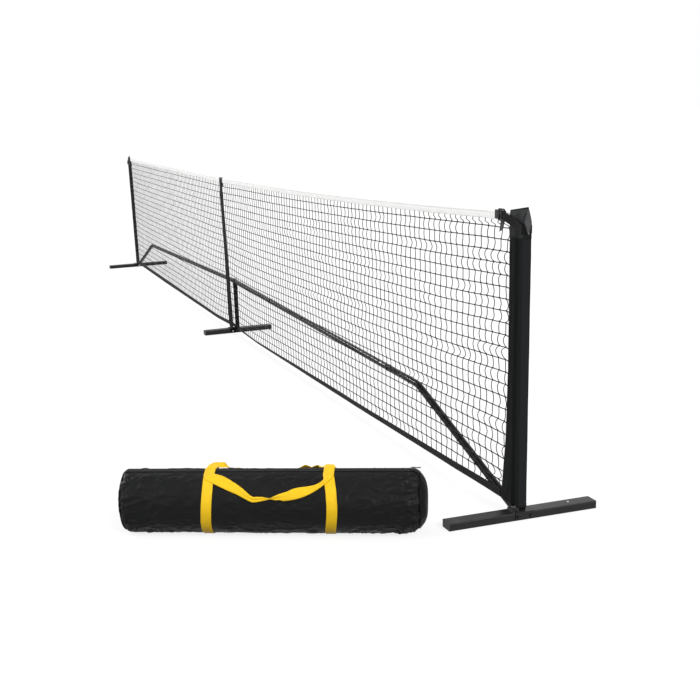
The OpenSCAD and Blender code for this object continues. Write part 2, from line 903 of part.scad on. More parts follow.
// The yellow bands run under the bag and up both sides, and stop short of the zip.
module bag_band(s) {
    in_bag() along_bag(s - handle_w / 2, s + handle_w / 2) difference() {
        bag_section(bag_gap + bag_web_t);
        bag_section(bag_gap);
        polygon([
            [0, 0], [3 * bag_r * cos(band_stop), 3 * bag_r * sin(band_stop)],
            [-3 * bag_r * cos(band_stop), 3 * bag_r * sin(band_stop)]
        ]);
    }
}

module bag_bands() {
    color("#f0c528") {
        bag_band(band_left_s);
        bag_band(band_right_s);
    }
}

// A handle lies on the bag's side: a strap that sags between the two bands.
// Each outline point is its distance in from a band and its height above the strap's low middle.
module bag_handle() {
    tilt = (handle_swing + handle_low) / 2;
    high = handle_r * sin(handle_swing - tilt) + 4;
    low = handle_r * sin(handle_low - tilt);
    w = handle_w / 2;
    outer = [[-w, high], [20, low + 56], [45, low + 40], [82, low + 19], [118, low + 5], [142, low]];
    inner = [[w, high], [80, low + 72], [110, low + 52], [140, low + handle_w]];
    color("#f0c528") intersection() {
        along_bag(band_left_s - w, band_right_s + w) difference() {
            circle(handle_r + handle_t, $fn = 96);
            circle(handle_r, $fn = 96);
            rotate(90 - handle_swing) translate([0, -2 * bag_r]) square([4 * bag_r, 4 * bag_r]);
        }
        translate([0, 0, bag_z]) rotate([90 - tilt, 0, 0]) linear_extrude(2 * bag_r) polygon(concat(
            [for (p = outer) [band_left_s + p[0], p[1]]],
            [for (p = reversed(outer)) [band_right_s - p[0], p[1]]],
            [for (p = inner) [band_right_s - p[0], p[1]]],
            [for (p = reversed(inner)) [band_left_s + p[0], p[1]]]
        ));
    }
}

module zip_tape() {
    color("#141517") in_bag() along_bag(-zip_half, zip_half) {
        intersection() {
            difference() {
                circle(bag_r + bag_gap + zip_web_t, $fn = 96);
                circle(bag_r + bag_gap, $fn = 96);
            }
            translate([-zip_w / 2, 0]) square([zip_w, 2 * bag_r]);
        }
        translate([-chain_w / 2, chain_top - chain_h]) square([chain_w, chain_h]);
    }
}

module at_slider() {
    in_bag() translate([slider_s, 0, bag_z + chain_top + seam_gap]) children();
}

// The slider rides on the chain and carries a bridge for its tab.
module zip_slider() {
    plate_t = 1.6;
    cheek = chain_w / 2 + seam_gap;
    bridge_w = 2.4;
    color("#6d7073") at_slider() {
        translate([-8, -cheek - 1, 0]) cube([16, 2 * cheek + 2, plate_t]);
        for (y = [-cheek - 1, cheek]) translate([-8, y, -chain_h / 2]) cube([16, 1, chain_h / 2 + cut / 2]);
        for (x = [-4.5, 3]) translate([x, -bridge_w / 2, 0]) cube([1.5, bridge_w, bridge_z + 2.3]);
        translate([-4.5, -bridge_w / 2, bridge_z + 1.1]) cube([9, bridge_w, 1.2]);
    }
}

// The tab's cross bar turns under the bridge, and its window lets it swing over.
module zip_tab() {
    color("#7d8083") at_slider() translate([0, 0, bridge_z]) {
        rotate([90, 0, 0]) translate([0, 0, -4]) cylinder(d = tab_t, h = 8);
        translate([0, 0, -tab_t / 2]) linear_extrude(tab_t) difference() {
            translate([0, -4]) square([tab_len, 8]);
            translate([-cut, -2.2]) square([7 + cut, 4.4]);
        }
    }
}

foot_centre();
end_foot();  // foot_right
left() end_foot();  // foot_left
foot_caps();
foot_toes();
saddle_centre();
end_saddle();  // saddle_right
left() end_saddle();  // saddle_left
frame_bolts();
centre_leg();
bar_tee();
bar_inner();  // bar_inner_right
left() bar_inner();  // bar_inner_left
bar_middle();  // bar_middle_right
left() bar_middle();  // bar_middle_left
bar_outer();  // bar_outer_right
left() bar_outer();  // bar_outer_left
bar_link();  // bar_link_right
left() bar_link();  // bar_link_left
brace();  // brace_right
left() brace();  // brace_left
button_clips();
tube_button(mouth_inner, back_up);  // button_inner_right
left() tube_button(mouth_inner, back_up);  // button_inner_left
tube_button(mouth_middle, back_up);  // button_middle_right
left() tube_button(mouth_middle, back_up);  // button_middle_left
tube_button(mouth_outer, front_up);  // button_outer_right
left() tube_button(mouth_outer, front_up);  // button_outer_left
tube_button(mouth_link, front_low);  // button_link_right
left() tube_button(mouth_link, front_low);  // button_link_left
foot_button();  // button_foot_right
left() foot_button();  // button_foot_left
post();  // post_right
left() post();  // post_left
post_plugs();
sleeve();  // sleeve_right
left() sleeve();  // sleeve_left
hood();  // hood_right
left() hood();  // hood_left
strap();  // strap_right
left() strap();  // strap_left
adjuster();  // adjuster_right
left() adjuster();  // adjuster_left
adjuster_loops();
net_mesh();
top_tape();
bottom_band();
centre_strap();
strap_cap();
foot_web();
bag_body();
bag_ends();
bag_bands();
in_bag() bag_handle();  // bag_handle_front
in_bag() mirror([0, 1, 0]) bag_handle();  // bag_handle_back
zip_tape();
zip_slider();
zip_tab();
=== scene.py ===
"""Looks for a portable court net and its carry bag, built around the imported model."""
import math
import random

import bmesh
import bpy
import numpy as np
from mathutils import Matrix, Vector, noise


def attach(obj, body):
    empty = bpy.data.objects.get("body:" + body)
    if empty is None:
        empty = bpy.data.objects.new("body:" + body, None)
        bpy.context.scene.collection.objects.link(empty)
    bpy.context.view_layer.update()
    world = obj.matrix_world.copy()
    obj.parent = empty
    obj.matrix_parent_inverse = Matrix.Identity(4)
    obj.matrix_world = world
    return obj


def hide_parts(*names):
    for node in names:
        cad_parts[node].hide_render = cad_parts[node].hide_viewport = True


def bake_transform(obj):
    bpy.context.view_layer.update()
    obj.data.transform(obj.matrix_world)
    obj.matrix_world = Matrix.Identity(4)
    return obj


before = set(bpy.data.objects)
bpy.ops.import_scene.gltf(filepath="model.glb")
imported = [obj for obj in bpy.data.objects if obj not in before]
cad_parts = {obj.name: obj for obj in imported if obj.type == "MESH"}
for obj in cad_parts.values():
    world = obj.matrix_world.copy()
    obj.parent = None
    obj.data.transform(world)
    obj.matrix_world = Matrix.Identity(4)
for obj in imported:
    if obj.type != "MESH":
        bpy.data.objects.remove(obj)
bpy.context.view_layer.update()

# Places and sizes of the set, in metres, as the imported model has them.
POST_X = 3.353  # middle of the right post
NET_Y = -0.015  # the net's plane
SEAM_X = 3.2936  # where the sleeve's hem meets the net
OUTER_FACE = 3.3652  # outside of the post, beyond which the sleeve's cloth is painted lighter as painted light from the key lamp
TAPE_SAG = 0.012  # slack of the tape's right half
ROWS, COLUMNS, PITCH = 22, 80, 0.0412  # the net's rows, and the columns of each half
HOOD_FRONT = 0.0594  # how far the hood reaches from the post's middle
BAG_MIDDLE = Vector((3.14772, -0.72439, 0.0945))
BAG_ALONG = Vector((math.cos(math.radians(65.3)), math.sin(math.radians(65.3)), 0.0))
BAG_DEPTH = Vector((-BAG_ALONG.y, BAG_ALONG.x, 0.0))
BAG_RADIUS = 0.0965
BANDS = {"near": -0.174, "far": 0.193}  # the yellow bands' places along the bag
SLANT = (0.292, 0.956)  # how much depth and height each lift a place, as the camera sees it
UP = Vector((0.0, 0.0, 1.0))
FINISHES = {}  # the materials, by name


# ---------- camera and lamps ----------

def linked(name, data):
    """A new object in the scene."""
    thing = bpy.data.objects.new(name, data)
    bpy.context.collection.objects.link(thing)
    return thing


def set_camera():
    """A camera at standing height beyond the right post, looking along the net."""
    yaw, pitch, roll = 2.85568, -0.29849, -0.0476
    ahead = Vector((math.cos(pitch) * math.cos(yaw), math.cos(pitch) * math.sin(yaw), math.sin(pitch)))
    side = ahead.cross(UP).normalized()
    top = side.cross(ahead)
    right = side * math.cos(roll) + top * math.sin(roll)
    up = top * math.cos(roll) - side * math.sin(roll)
    lens = bpy.data.cameras.new("camera")
    lens.sensor_width = 36
    lens.lens = 56.897
    lens.shift_x = 0.0906
    lens.shift_y = 0.1475
    lens.clip_end = 500
    place = Matrix((right, up, -ahead)).transposed().to_4x4()
    place.translation = (6.16246, -1.5526, 1.20169)
    camera = linked("camera", lens)
    camera.matrix_world = place
    bpy.context.scene.camera = camera


def set_sun(name, towards, strength, spread):
    """A broad soft lamp that shines from one direction."""
    lamp = bpy.data.lights.new(name, "SUN")
    lamp.energy = strength
    lamp.angle = math.radians(spread)
    linked(name, lamp).rotation_euler = Vector(towards).to_track_quat("Z", "Y").to_euler()


# ---------- shader and geometry trees ----------

class Sock:
    """A socket that takes part in sums: an expression on it adds the Math nodes it needs."""

    def __init__(self, bench, socket):
        self.bench = bench
        self.socket = socket

    def math(self, operation, *values):
        return self.bench.make("ShaderNodeMath", {"operation": operation}, dict(enumerate(values)))

    def __add__(self, other):
        return self.math("ADD", self, other)

    def __rsub__(self, other):
        return self.math("SUBTRACT", other, self)

    def __mul__(self, other):
        return self.math("MULTIPLY", self, other)

    def __rtruediv__(self, other):
        return self.math("DIVIDE", other, self)

    def __abs__(self):
        return self.math("ABSOLUTE", self)

    def sine(self):
        return self.math("SINE", self)

    def most(self, other):
        return self.math("MAXIMUM", self, other)

    def above(self, edge):
        return self.math("GREATER_THAN", self, edge)

    def ramp(self, low, high, out_low=0.0, out_high=1.0):
        """Maps this value from one range to another, held at both ends."""
        return self.bench.make("ShaderNodeMapRange", {"clamp": True}, {
            "Value": self, "From Min": low, "From Max": high, "To Min": out_low, "To Max": out_high})


class Bench:
    """Makes the nodes of one tree and wires them."""

    def __init__(self, tree):
        self.tree = tree

    def make(self, kind, settings=None, sockets=None, out=0):
        """Adds a node: its settings first, then values or links for its sockets."""
        node = self.tree.nodes.new(kind)
        for key, value in (settings or {}).items():
            setattr(node, key, value)
        for key, value in (sockets or {}).items():
            if isinstance(value, Sock):
                self.tree.links.new(value.socket, node.inputs[key])
            else:
                node.inputs[key].default_value = value
        return Sock(self, node.outputs[out]) if len(node.outputs) else node

    def other(self, sock, out):
        """Another output of the node that a socket belongs to."""
        return Sock(self, sock.socket.node.outputs[out])

    def mix(self, factor, first, second):
        return self.make("ShaderNodeMix", {"data_type": "RGBA"}, {0: factor, 6: first, 7: second}, 2)

    def noise(self, where, scale, detail=2.0, roughness=0.5, stretch=None):
        if stretch:
            where = self.make("ShaderNodeMapping", None, {"Vector": where, "Scale": stretch})
        return self.make("ShaderNodeTexNoise", None, {
            "Vector": where, "Scale": scale, "Detail": detail, "Roughness": roughness})

    def bump(self, height, distance, strength=1.0, under=None):
        sockets = {"Strength": strength, "Distance": distance, "Height": height}
        if under is not None:
            sockets["Normal"] = under
        return self.make("ShaderNodeBump", None, sockets)

    def seen_rays(self):
        """1 for camera, glossy and transmitted rays, and 0 for the rest."""
        rays = self.make("ShaderNodeLightPath")
        return rays.most(self.other(rays, "Is Glossy Ray")).most(self.other(rays, "Is Transmission Ray"))


class Finish(Bench):
    """A material under construction, with the coordinates that its pattern reads."""

    def __init__(self, name):
        self.material = FINISHES[name] = bpy.data.materials.new(name)
        self.material.use_nodes = True
        super().__init__(self.material.node_tree)
        self.tree.nodes.clear()

    def place(self):
        """Where a point lies on the piece, in metres."""
        return self.make("ShaderNodeTexCoord", out="Object")

    def cloth(self):
        """Where a point lies on the cloth, in metres: as a vector, across it, and along it."""
        uv = self.make("ShaderNodeTexCoord", out="UV")
        across = self.make("ShaderNodeSeparateXYZ", None, {0: uv})
        return uv, across, self.other(across, 1)

    def surface(self, colour, roughness, normal, **fixed):
        """Ends the material in one Principled shader. Fixed values sit on its own sockets."""
        sockets = {"Base Color": colour, "Roughness": roughness, "Normal": normal}
        sockets.update({key.replace("_", " "): value for key, value in fixed.items()})
        shader = self.make("ShaderNodeBsdfPrincipled", None, sockets)
        self.make("ShaderNodeOutputMaterial", None, {"Surface": shader})


def grey(level, warm=0.0):
    """A grey, made a little warmer or cooler."""
    return (level * (1 + warm), level, level * (1 - warm), 1.0)


def tint(colour, factor):
    """A colour made darker or lighter."""
    return tuple(min(c * factor, 1.0) for c in colour) + (1.0,)


def painted_steel(name, level, grain, roughness, specular):
    """Powder coat: an orange-peel grain, a faint haze of handling marks and dull patches."""
    f = Finish(name)
    at = f.place()
    haze = f.noise(at, 14.0, 4.0, 0.55)
    scuffs = f.noise(at, 1.0, 3.0, 0.7, (90.0, 700.0, 700.0))
    worn = scuffs.ramp(0.66, 0.78) * haze.ramp(0.5, 0.7)
    colour = f.mix(haze.ramp(0.3, 0.7), grey(level * 0.86, -0.02), grey(level * 1.14, -0.02))
    colour = f.mix(worn * 0.5, colour, grey(level * 2.6, -0.01))
    rough = haze.ramp(0.3, 0.7, roughness - 0.05, roughness + 0.06) + worn * 0.12
    f.surface(colour, rough, f.bump(f.noise(at, grain, 2.0, 0.6), 0.00012, 0.3), Specular_IOR_Level=specular)


def bare_steel(name, level, roughness, brushed=0.0):
    """Plated or polished steel with fine marks."""
    f = Finish(name)
    at = f.place()
    cloud = f.noise(at, 60.0, 3.0, 0.6)
    marks = f.noise(at, 900.0, 2.0, 0.6, (1.0, 1.0, 12.0))
    colour = f.mix(cloud, grey(level * 0.9, -0.012), grey(min(level * 1.08, 0.95), -0.008))
    rough = cloud.ramp(0.3, 0.7, roughness * 0.8, roughness * 1.25) + marks * brushed
    f.surface(colour, rough, f.bump(marks, 0.00003, 0.25), Metallic=1.0)


def moulded_plastic(name, level, roughness, grain, specular):
    """Moulded plastic with a spark-eroded grain and faint flow marks."""
    f = Finish(name)
    at = f.place()
    pits = f.noise(at, grain, 2.0, 0.55)
    flow = f.noise(at, 22.0, 2.0, 0.5)
    colour = f.mix(flow, grey(level * 0.85, -0.02), grey(level * 1.18, -0.02))
    rough = flow.ramp(0.3, 0.7, roughness - 0.04, roughness + 0.05)
    f.surface(colour, rough, f.bump(pits, 0.00008, 0.4), Specular_IOR_Level=specular)


def coated_cloth(name, colour, pitch, roughness, specular, creases=1.0, outer_face_painted_light=None):
    """Coated polyester: a fine plain weave and soft creases, with painted shade darker in the creases' hollows and
    between the weave's threads.
    """
    f = Finish(name)
    uv, across, along = f.cloth()
    step = 2 * math.pi / pitch
    weave = (across * step).sine() * (along * step).sine() * 0.5 + 0.5
    crease = f.noise(uv, 26.0, 3.0, 0.5)
    slub = f.noise(uv, 1.0, 1.0, 0.5, (300.0, 2600.0, 1.0))
    # Painted shade: the colour is darker where the creases and the weave sink.
    tone = f.mix(crease.ramp(0.3, 0.72) * 0.7 + weave * 0.3, tint(colour, 0.74), tint(colour, 1.3))
    # Painted light: the sleeve's outer face, which the key lamp lights, is painted lighter.
    if outer_face_painted_light:
        away = f.make("ShaderNodeSeparateXYZ", None, {0: f.place()})
        tone = f.mix(abs(away).ramp(OUTER_FACE - 0.0022, OUTER_FACE), tone, tint(colour, outer_face_painted_light))
    rough = crease.ramp(0.3, 0.7, roughness - 0.06, roughness + 0.07)
    bent = f.bump(crease, 0.0016 * creases, 0.5)
    normal = f.bump(weave * 0.75 + slub * 0.25, 0.00016, 0.45, bent)
    f.surface(tone, rough, normal, Specular_IOR_Level=specular)


def webbing(name, colour, ribs, roughness, sheen, specular, rib_shade_and_dirt_range=0.2):
    """Flat woven strap: ribs along it, weft ticks across it, and a rolled edge. Its colour has painted shade in the
    hollows between ribs and ticks.
    """
    f = Finish(name)
    uv, across, along = f.cloth()
    rib = (across * (2 * math.pi / ribs)).sine()
    tick = (along * (2 * math.pi / (ribs * 0.9)) + rib * 1.3).sine()
    height = abs(rib) * 0.55 + (tick * 0.5 + 0.5) * 0.45
    cloud = f.noise(uv, 40.0, 3.0, 0.55)
    dirt = f.noise(uv, 9.0, 2.0, 0.5)
    # Painted shade: darker in the hollows between ribs and ticks, mixed with random cloud and dirt.
    shade = height * 0.5 + cloud.ramp(0.3, 0.7) * 0.3 + dirt * 0.2
    tone = f.mix(shade, tint(colour, 1 - 1.5 * rib_shade_and_dirt_range), tint(colour, 1 + rib_shade_and_dirt_range))
    normal = f.bump(height, 0.00035, 0.6, f.bump(cloud, 0.0006, 0.4))
    f.surface(tone, cloud.ramp(0.3, 0.7, roughness - 0.05, roughness + 0.06), normal,
              Sheen_Weight=sheen, Specular_IOR_Level=specular)


def thread(name, colour):
    """Sewing thread: two plies that turn round each other, painted darker in the grooves between them as painted
    shade.
    """
    f = Finish(name)
    twist = f.noise(f.place(), 2400.0, 1.0, 0.5)
    tone = f.mix(twist, tint(colour, 0.7), tint(colour, 1.25))
    f.surface(tone, 0.62, f.bump(twist, 0.0001, 0.4), Specular_IOR_Level=0.12)


def net_cord():
    """Braided netting cord: painted shade darker in the braid's hollows, and a little paler where it is rubbed."""
    f = Finish("net_cord")
    at = f.place()
    braid = f.noise(at, 1500.0, 1.0, 0.5)
    rubbed = f.noise(at, 5.0, 3.0, 0.6)
    tone = f.mix(braid * 0.5 + rubbed.ramp(0.4, 0.7) * 0.5, grey(0.006), grey(0.019))
    f.surface(tone, 0.66, f.bump(braid, 0.0002, 0.5), Specular_IOR_Level=0.12)


# ---------- sums and lines ----------

def clip(value, low=0.0, high=1.0):
    """A value held between two others."""
    return min(max(value, low), high)


def share(value, low, high):
    """How far a value has come from low to high, held between 0 and 1."""
    return clip((value - low) / (high - low))


def wave(*place):
    """Smooth noise at a place, from -1 to 1."""
    return noise.noise(place)


def hump(distance, width, power=2):
    """1 at no distance, falling away to 0 on both sides."""
    return math.exp(-(distance / width) ** power)


def table(value, places, values):
    """A value read between the rows of a table."""
    return float(np.interp(value, places, values))


def unit(rows):
    """The directions of some vectors, at length one."""
    return rows / (np.linalg.norm(rows, axis=1)[:, None] + 1e-12)


def length_along(points):
    """How far along a line each of its points lies."""
    return np.concatenate([[0], np.cumsum(np.linalg.norm(np.diff(points, axis=0), axis=1))])


def smooth_line(points, steps):
    """Points on a Catmull-Rom curve through the given ones, which may have any number of parts."""
    p = np.asarray(points, dtype=float)
    p = np.vstack([2 * p[0] - p[1], p, 2 * p[-1] - p[-2]])
    out = []
    for a, b, c, d in zip(p, p[1:], p[2:], p[3:]):
        for t in np.linspace(0, 1, steps, endpoint=False):
            out.append(0.5 * (2 * b + (c - a) * t + (2 * a - 5 * b + 4 * c - d) * t * t
                              + (3 * b - a - 3 * c + d) * t ** 3))
    out.append(p[-2])
    return np.array(out)


def rounded_line(points, radius, step):
    """A polyline with its corners rounded, with points at about the same step."""
    p = [np.asarray(q, dtype=float) for q in points]
    out = [p[0]]
    for a, b, c in zip(p, p[1:], p[2:]):
        back, on = a - b, c - b
        reach = min(radius, 0.45 * np.linalg.norm(back), 0.45 * np.linalg.norm(on))
        start = b + back / np.linalg.norm(back) * reach
        end = b + on / np.linalg.norm(on) * reach
        out += [(1 - t) ** 2 * start + 2 * t * (1 - t) * b + t * t * end for t in np.linspace(0, 1, 7)]
    out.append(p[-1])
    keep = [out[0]]
    for q in out[1:]:
        start = keep[-1]
        gap = np.linalg.norm(q - start)
        if gap >= 1e-5:
            parts = max(1, int(round(gap / step)))
            keep += [start + (q - start) * k / parts for k in range(1, parts + 1)]
    return np.array(keep)


# ---------- making pieces ----------

def new_piece(name, points, faces, finish, spread=None, smooth=True, edges=()):
    """A mesh piece in its place. spread gives each point's place on the cloth, in metres."""
    mesh = bpy.data.meshes.new(name)
    mesh.from_pydata([tuple(p) for p in points], edges, [tuple(f) for f in faces])
    if spread is not None:
        layer = mesh.uv_layers.new(name="cloth")
        order = np.empty(len(mesh.loops), dtype=np.int32)
        mesh.loops.foreach_get("vertex_index", order)
        layer.data.foreach_set("uv", np.asarray(spread, dtype=np.float32)[order].ravel())
    mesh.polygons.foreach_set("use_smooth", [smooth] * len(faces))
    if finish:
        mesh.materials.append(FINISHES[finish])
    mesh.update()
    return linked(name, mesh)


def tube_faces(rings, around, closed=False, capped=False):
    """Faces between rings of points, stored ring by ring: an open tube, a closed one or a capped one."""
    faces = []
    for i in range(rings if closed else rings - 1):
        for j in range(around):
            k, m = (i + 1) % rings, (j + 1) % around
            faces.append((i * around + j, i * around + m, k * around + m, k * around + j))
    if capped:
        faces.append(tuple(range(around)))
        faces.append(tuple((rings - 1) * around + k for k in reversed(range(around))))
    return faces


def mend(piece, merge=0.0):
    """Turns every face to the outside. With a distance, it first merges points that meet."""
    work = bmesh.new()
    work.from_mesh(piece.data)
    if merge:
        bmesh.ops.remove_doubles(work, verts=work.verts, dist=merge)
        bmesh.ops.dissolve_degenerate(work, edges=work.edges, dist=merge * 0.5)
    bmesh.ops.recalc_face_normals(work, faces=work.faces)
    work.to_mesh(piece.data)
    work.free()
    return piece


def solid_copy(piece, modifier):
    """The mesh that a modifier makes of a piece."""
    piece.update_tag()
    seen = piece.evaluated_get(bpy.context.evaluated_depsgraph_get())
    mesh = bpy.data.meshes.new_from_object(seen)
    piece.modifiers.remove(modifier)
    return mesh


def thicken(piece, amount):
    """Gives an open sheet its thickness, to the inside."""
    wall = mend(piece).modifiers.new("wall", "SOLIDIFY")
    wall.thickness = amount
    wall.offset = -1.0
    old, piece.data = piece.data, solid_copy(piece, wall)
    bpy.data.meshes.remove(old)
    piece.data.name = piece.name
    return piece


def turned(name, profile, place, axis, finish):
    """A turned part: a profile of (radius, height) spun round an axis."""
    turn = axis.to_track_quat("Z", "Y")
    around = 20
    angles = [2 * math.pi * k / around for k in range(around)]
    points = [place + turn @ Vector((r * math.cos(a), r * math.sin(a), h)) for r, h in profile for a in angles]
    return mend(new_piece(name, points, tube_faces(len(profile), around), finish), 1e-5)


def cord_ring(name, path, radius, finish, sides=8):
    """A round cord along a closed line."""
    path = np.array([tuple(p) for p in path])[:-1]
    ahead = unit(np.roll(path, -1, axis=0) - np.roll(path, 1, axis=0))
    guide = np.eye(3)[int(np.argmin(np.abs(ahead).mean(axis=0)))]
    first = unit(np.cross(ahead, guide))
    points, spread = [], []
    for p, a, b, run in zip(path, first, np.cross(ahead, first), length_along(path)):
        for k in range(sides):
            t = 2 * math.pi * k / sides
            points.append(p + (a * math.cos(t) + b * math.sin(t)) * radius)
            spread.append((t * radius, run))
    return mend(new_piece(name, points, tube_faces(len(path), sides, closed=True), finish, spread))


def strap(name, middle, across, width, thick, finish, sides=7, crown=0.0):
    """A flat woven strap: a closed strip with rolled edges along a line.

    middle has the points of its middle line and across the direction of its width at each.
    width and thick may change along it. crown arches it across its width."""
    middle = np.asarray(middle, dtype=float)
    count = len(middle)
    ahead = unit(np.gradient(middle, axis=0))
    across = np.broadcast_to(np.asarray(across, dtype=float), middle.shape)
    across = unit(across - ahead * np.sum(across * ahead, axis=1)[:, None])
    facing = np.cross(ahead, across)
    width, thick = (np.broadcast_to(np.asarray(v, dtype=float), (count,)) for v in (width, thick))
    run = length_along(middle)
    half = [(-1 + 2 * k / (sides - 1), 1.0) for k in range(sides)] + [(1.0, 0.35), (1.0, -0.35)]
    shape = half + [(-a, -n) for a, n in half]
    points, spread = [], []
    for i in range(count):
        roll = min(thick[i] * 0.45, width[i] * 0.2)
        for a, n in shape:
            reach = width[i] / 2 - (roll if abs(a) > 0.999 and abs(n) > 0.9 else 0.0)
            rise = n * thick[i] / 2 + crown * (1 - a * a)
            points.append(middle[i] + across[i] * a * reach + facing[i] * rise)
            spread.append((a * width[i] / 2 + (0.2 if n < 0 else 0.0), run[i]))
    ring = len(shape)
    faces = tube_faces(count, ring)
    hub, last = len(points), (count - 1) * ring
    for i in (0, count - 1):
        points.append(middle[i])
        spread.append((0.0, run[i]))
    for j in range(ring):
        m = (j + 1) % ring
        faces += [(hub, m, j), (hub + 1, last + j, last + m)]
    return mend(new_piece(name, points, faces, finish, spread))


def swell(piece, amount):
    """Moves each point by what a function of its place gives."""
    for vertex in piece.data.vertices:
        vertex.co += amount(vertex.co)
    piece.data.update()


def wear(piece, slot, node=None, body="net_frame", **sheet):
    """Hangs a piece on the body that carries it and hides the node that it replaces. The slot and how its cloth is
    held are not used.
    """
    if body:
        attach(piece, body)
    if node:
        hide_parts(node)


def both_ends(piece, slot, node="", **sheet):
    """The same for a piece at the right end and for its mirrored copy at the left end."""
    wear(piece, slot, node, **sheet)

    def left(word):
        return word.replace("_right", "_left")

    mesh = piece.data.copy()
    mesh.name = left(piece.name)
    mesh.transform(Matrix.Diagonal((-1, 1, 1, 1)))
    mesh.flip_normals()
    if sheet:
        sheet["rests_on"] = [left(word) for word in sheet["rests_on"]]
    wear(linked(left(piece.name), mesh), slot, left(node), **sheet)


class Grower(Bench):
    """A geometry tree with named inputs, which ends in Realize Instances and Set Material."""

    def __init__(self, name, **inputs):
        super().__init__(bpy.data.node_groups.new(name, "GeometryNodeTree"))
        sockets = {"Geometry": "Geometry", **inputs, "Finish": "Material"}
        self.keys = {}
        for label, kind in sockets.items():
            socket = self.tree.interface.new_socket(name=label, in_out="INPUT", socket_type="NodeSocket" + kind)
            self.keys[label] = socket.identifier
        self.tree.interface.new_socket(name="Geometry", in_out="OUTPUT", socket_type="NodeSocketGeometry")
        self.entry = self.tree.nodes.new("NodeGroupInput")

    def given(self, label):
        return Sock(self, self.entry.outputs[label])

    def finish(self, geometry):
        real = self.make("GeometryNodeRealizeInstances", None, {0: geometry})
        smooth = self.make("GeometryNodeSetShadeSmooth", None, {"Geometry": real})
        dressed = self.make("GeometryNodeSetMaterial", None, {"Geometry": smooth, "Material": self.given("Finish")})
        self.make("NodeGroupOutput", None, {0: dressed})
        return self

    def grow(self, host, name, finish, **values):
        """Runs the tree on a host and leaves its result as one plain mesh piece."""
        modifier = host.modifiers.new("grow", "NODES")
        modifier.node_group = self.tree
        for label, value in dict(values, Finish=FINISHES[finish]).items():
            modifier[self.keys[label]] = value
        mesh = solid_copy(host, modifier)
        bpy.data.objects.remove(host)
        mesh.name = name
        if not mesh.materials:
            mesh.materials.append(FINISHES[finish])
        return linked(name, mesh)


def netting_tree():
    """Cords along every edge of a net, with a knot where they cross."""
    g = Grower("netting", Upright="Float", Row="Float", Knot="Float", Wander="Float", Wave="Float", Seed="Float")
    cloud = g.make("ShaderNodeTexNoise", {"noise_dimensions": "4D"}, {
        "Vector": g.make("GeometryNodeInputPosition"), "W": g.given("Seed"), "Scale": 1.0 / g.given("Wave"),
        "Detail": 1.0}, 1)
    centred = g.make("ShaderNodeVectorMath", {"operation": "SUBTRACT"}, {0: cloud, 1: (0.5, 0.5, 0.5)})
    pull = g.make("ShaderNodeVectorMath", {"operation": "MULTIPLY"}, {0: centred, 1: (2.0, 0.5, 0.9)})
    shift = g.make("ShaderNodeVectorMath", {"operation": "SCALE"}, {0: pull, "Scale": g.given("Wander")})
    net = g.given("Geometry")
    in_row, marked = (g.make("GeometryNodeInputNamedAttribute", {"data_type": "FLOAT"}, {"Name": name})
                      for name in ("row", "knot"))
    parts = []
    for chosen, size in ((in_row.above(0.5), "Row"), ((1.0 - in_row).above(0.5), "Upright")):
        cords = g.make("GeometryNodeMeshToCurve", None, {0: net, 1: chosen})
        cords = g.make("GeometryNodeSetPosition", None, {"Geometry": cords, "Offset": shift})
        outline = g.make("GeometryNodeCurvePrimitiveCircle", None, {"Resolution": 5, "Radius": g.given(size) * 0.5})
        parts.append(g.make("GeometryNodeCurveToMesh", None, {"Curve": cords, "Profile Curve": outline}))
    corners = g.make("GeometryNodeSetPosition", None, {"Geometry": net, "Offset": shift})
    knot = g.make("GeometryNodeMeshIcoSphere", None, {"Radius": g.given("Knot"), "Subdivisions": 1})
    parts.append(g.make("GeometryNodeInstanceOnPoints", None, {
        "Points": corners, "Selection": marked.above(0.5), "Instance": knot, "Scale": (1.2, 0.8, 1.2)}))
    joined = g.tree.nodes.new("GeometryNodeJoinGeometry")
    for part in parts:
        g.tree.links.new(part.socket, joined.inputs[0])
    return g.finish(Sock(g, joined.outputs[0]))


def row_tree(name, segments, rings, across):
    """Small rounded bars at one pitch along a line: stitches lie along it, a zip coil's loops across it."""
    g = Grower(name, Pitch="Float", Long="Float", Thick="Float", Across="Vector")
    line = g.make("GeometryNodeMeshToCurve", None, {0: g.given("Geometry")})
    line = g.make("GeometryNodeResampleCurve", {"mode": "LENGTH"}, {"Curve": line, "Length": g.given("Pitch")})
    turn = g.make("FunctionNodeAlignRotationToVector", {"axis": "Z"}, {
        "Vector": g.given("Across") if across else g.make("GeometryNodeInputTangent")})
    bar = g.make("GeometryNodeMeshUVSphere", None, {"Segments": segments, "Rings": rings, "Radius": 0.5})
    size = g.make("ShaderNodeCombineXYZ", None, {0: g.given("Thick"), 1: g.given("Thick"), 2: g.given("Long")})
    return g.finish(g.make("GeometryNodeInstanceOnPoints", None, {
        "Points": line, "Instance": bar, "Rotation": turn, "Scale": size}))


NETTING = netting_tree()
STITCHES = row_tree("stitches", 5, 3, False)
COILS = row_tree("zip_coil", 6, 4, True)


def lines_of(lines):
    """Several bare lines in one mesh, for a geometry tree to follow."""
    points, edges = [], []
    for line in lines:
        first = len(points)
        points += line
        edges += [(first + i, first + i + 1) for i in range(len(line) - 1)]
    return new_piece("lines", points, (), None, edges=edges)


def sew(name, lines, pitch, stitch, thick, finish="black_thread"):
    """Stitches end to end along some lines."""
    return STITCHES.grow(lines_of(lines), name, finish, Pitch=pitch, Long=stitch, Thick=thick)


# ---------- net, tape and band ----------

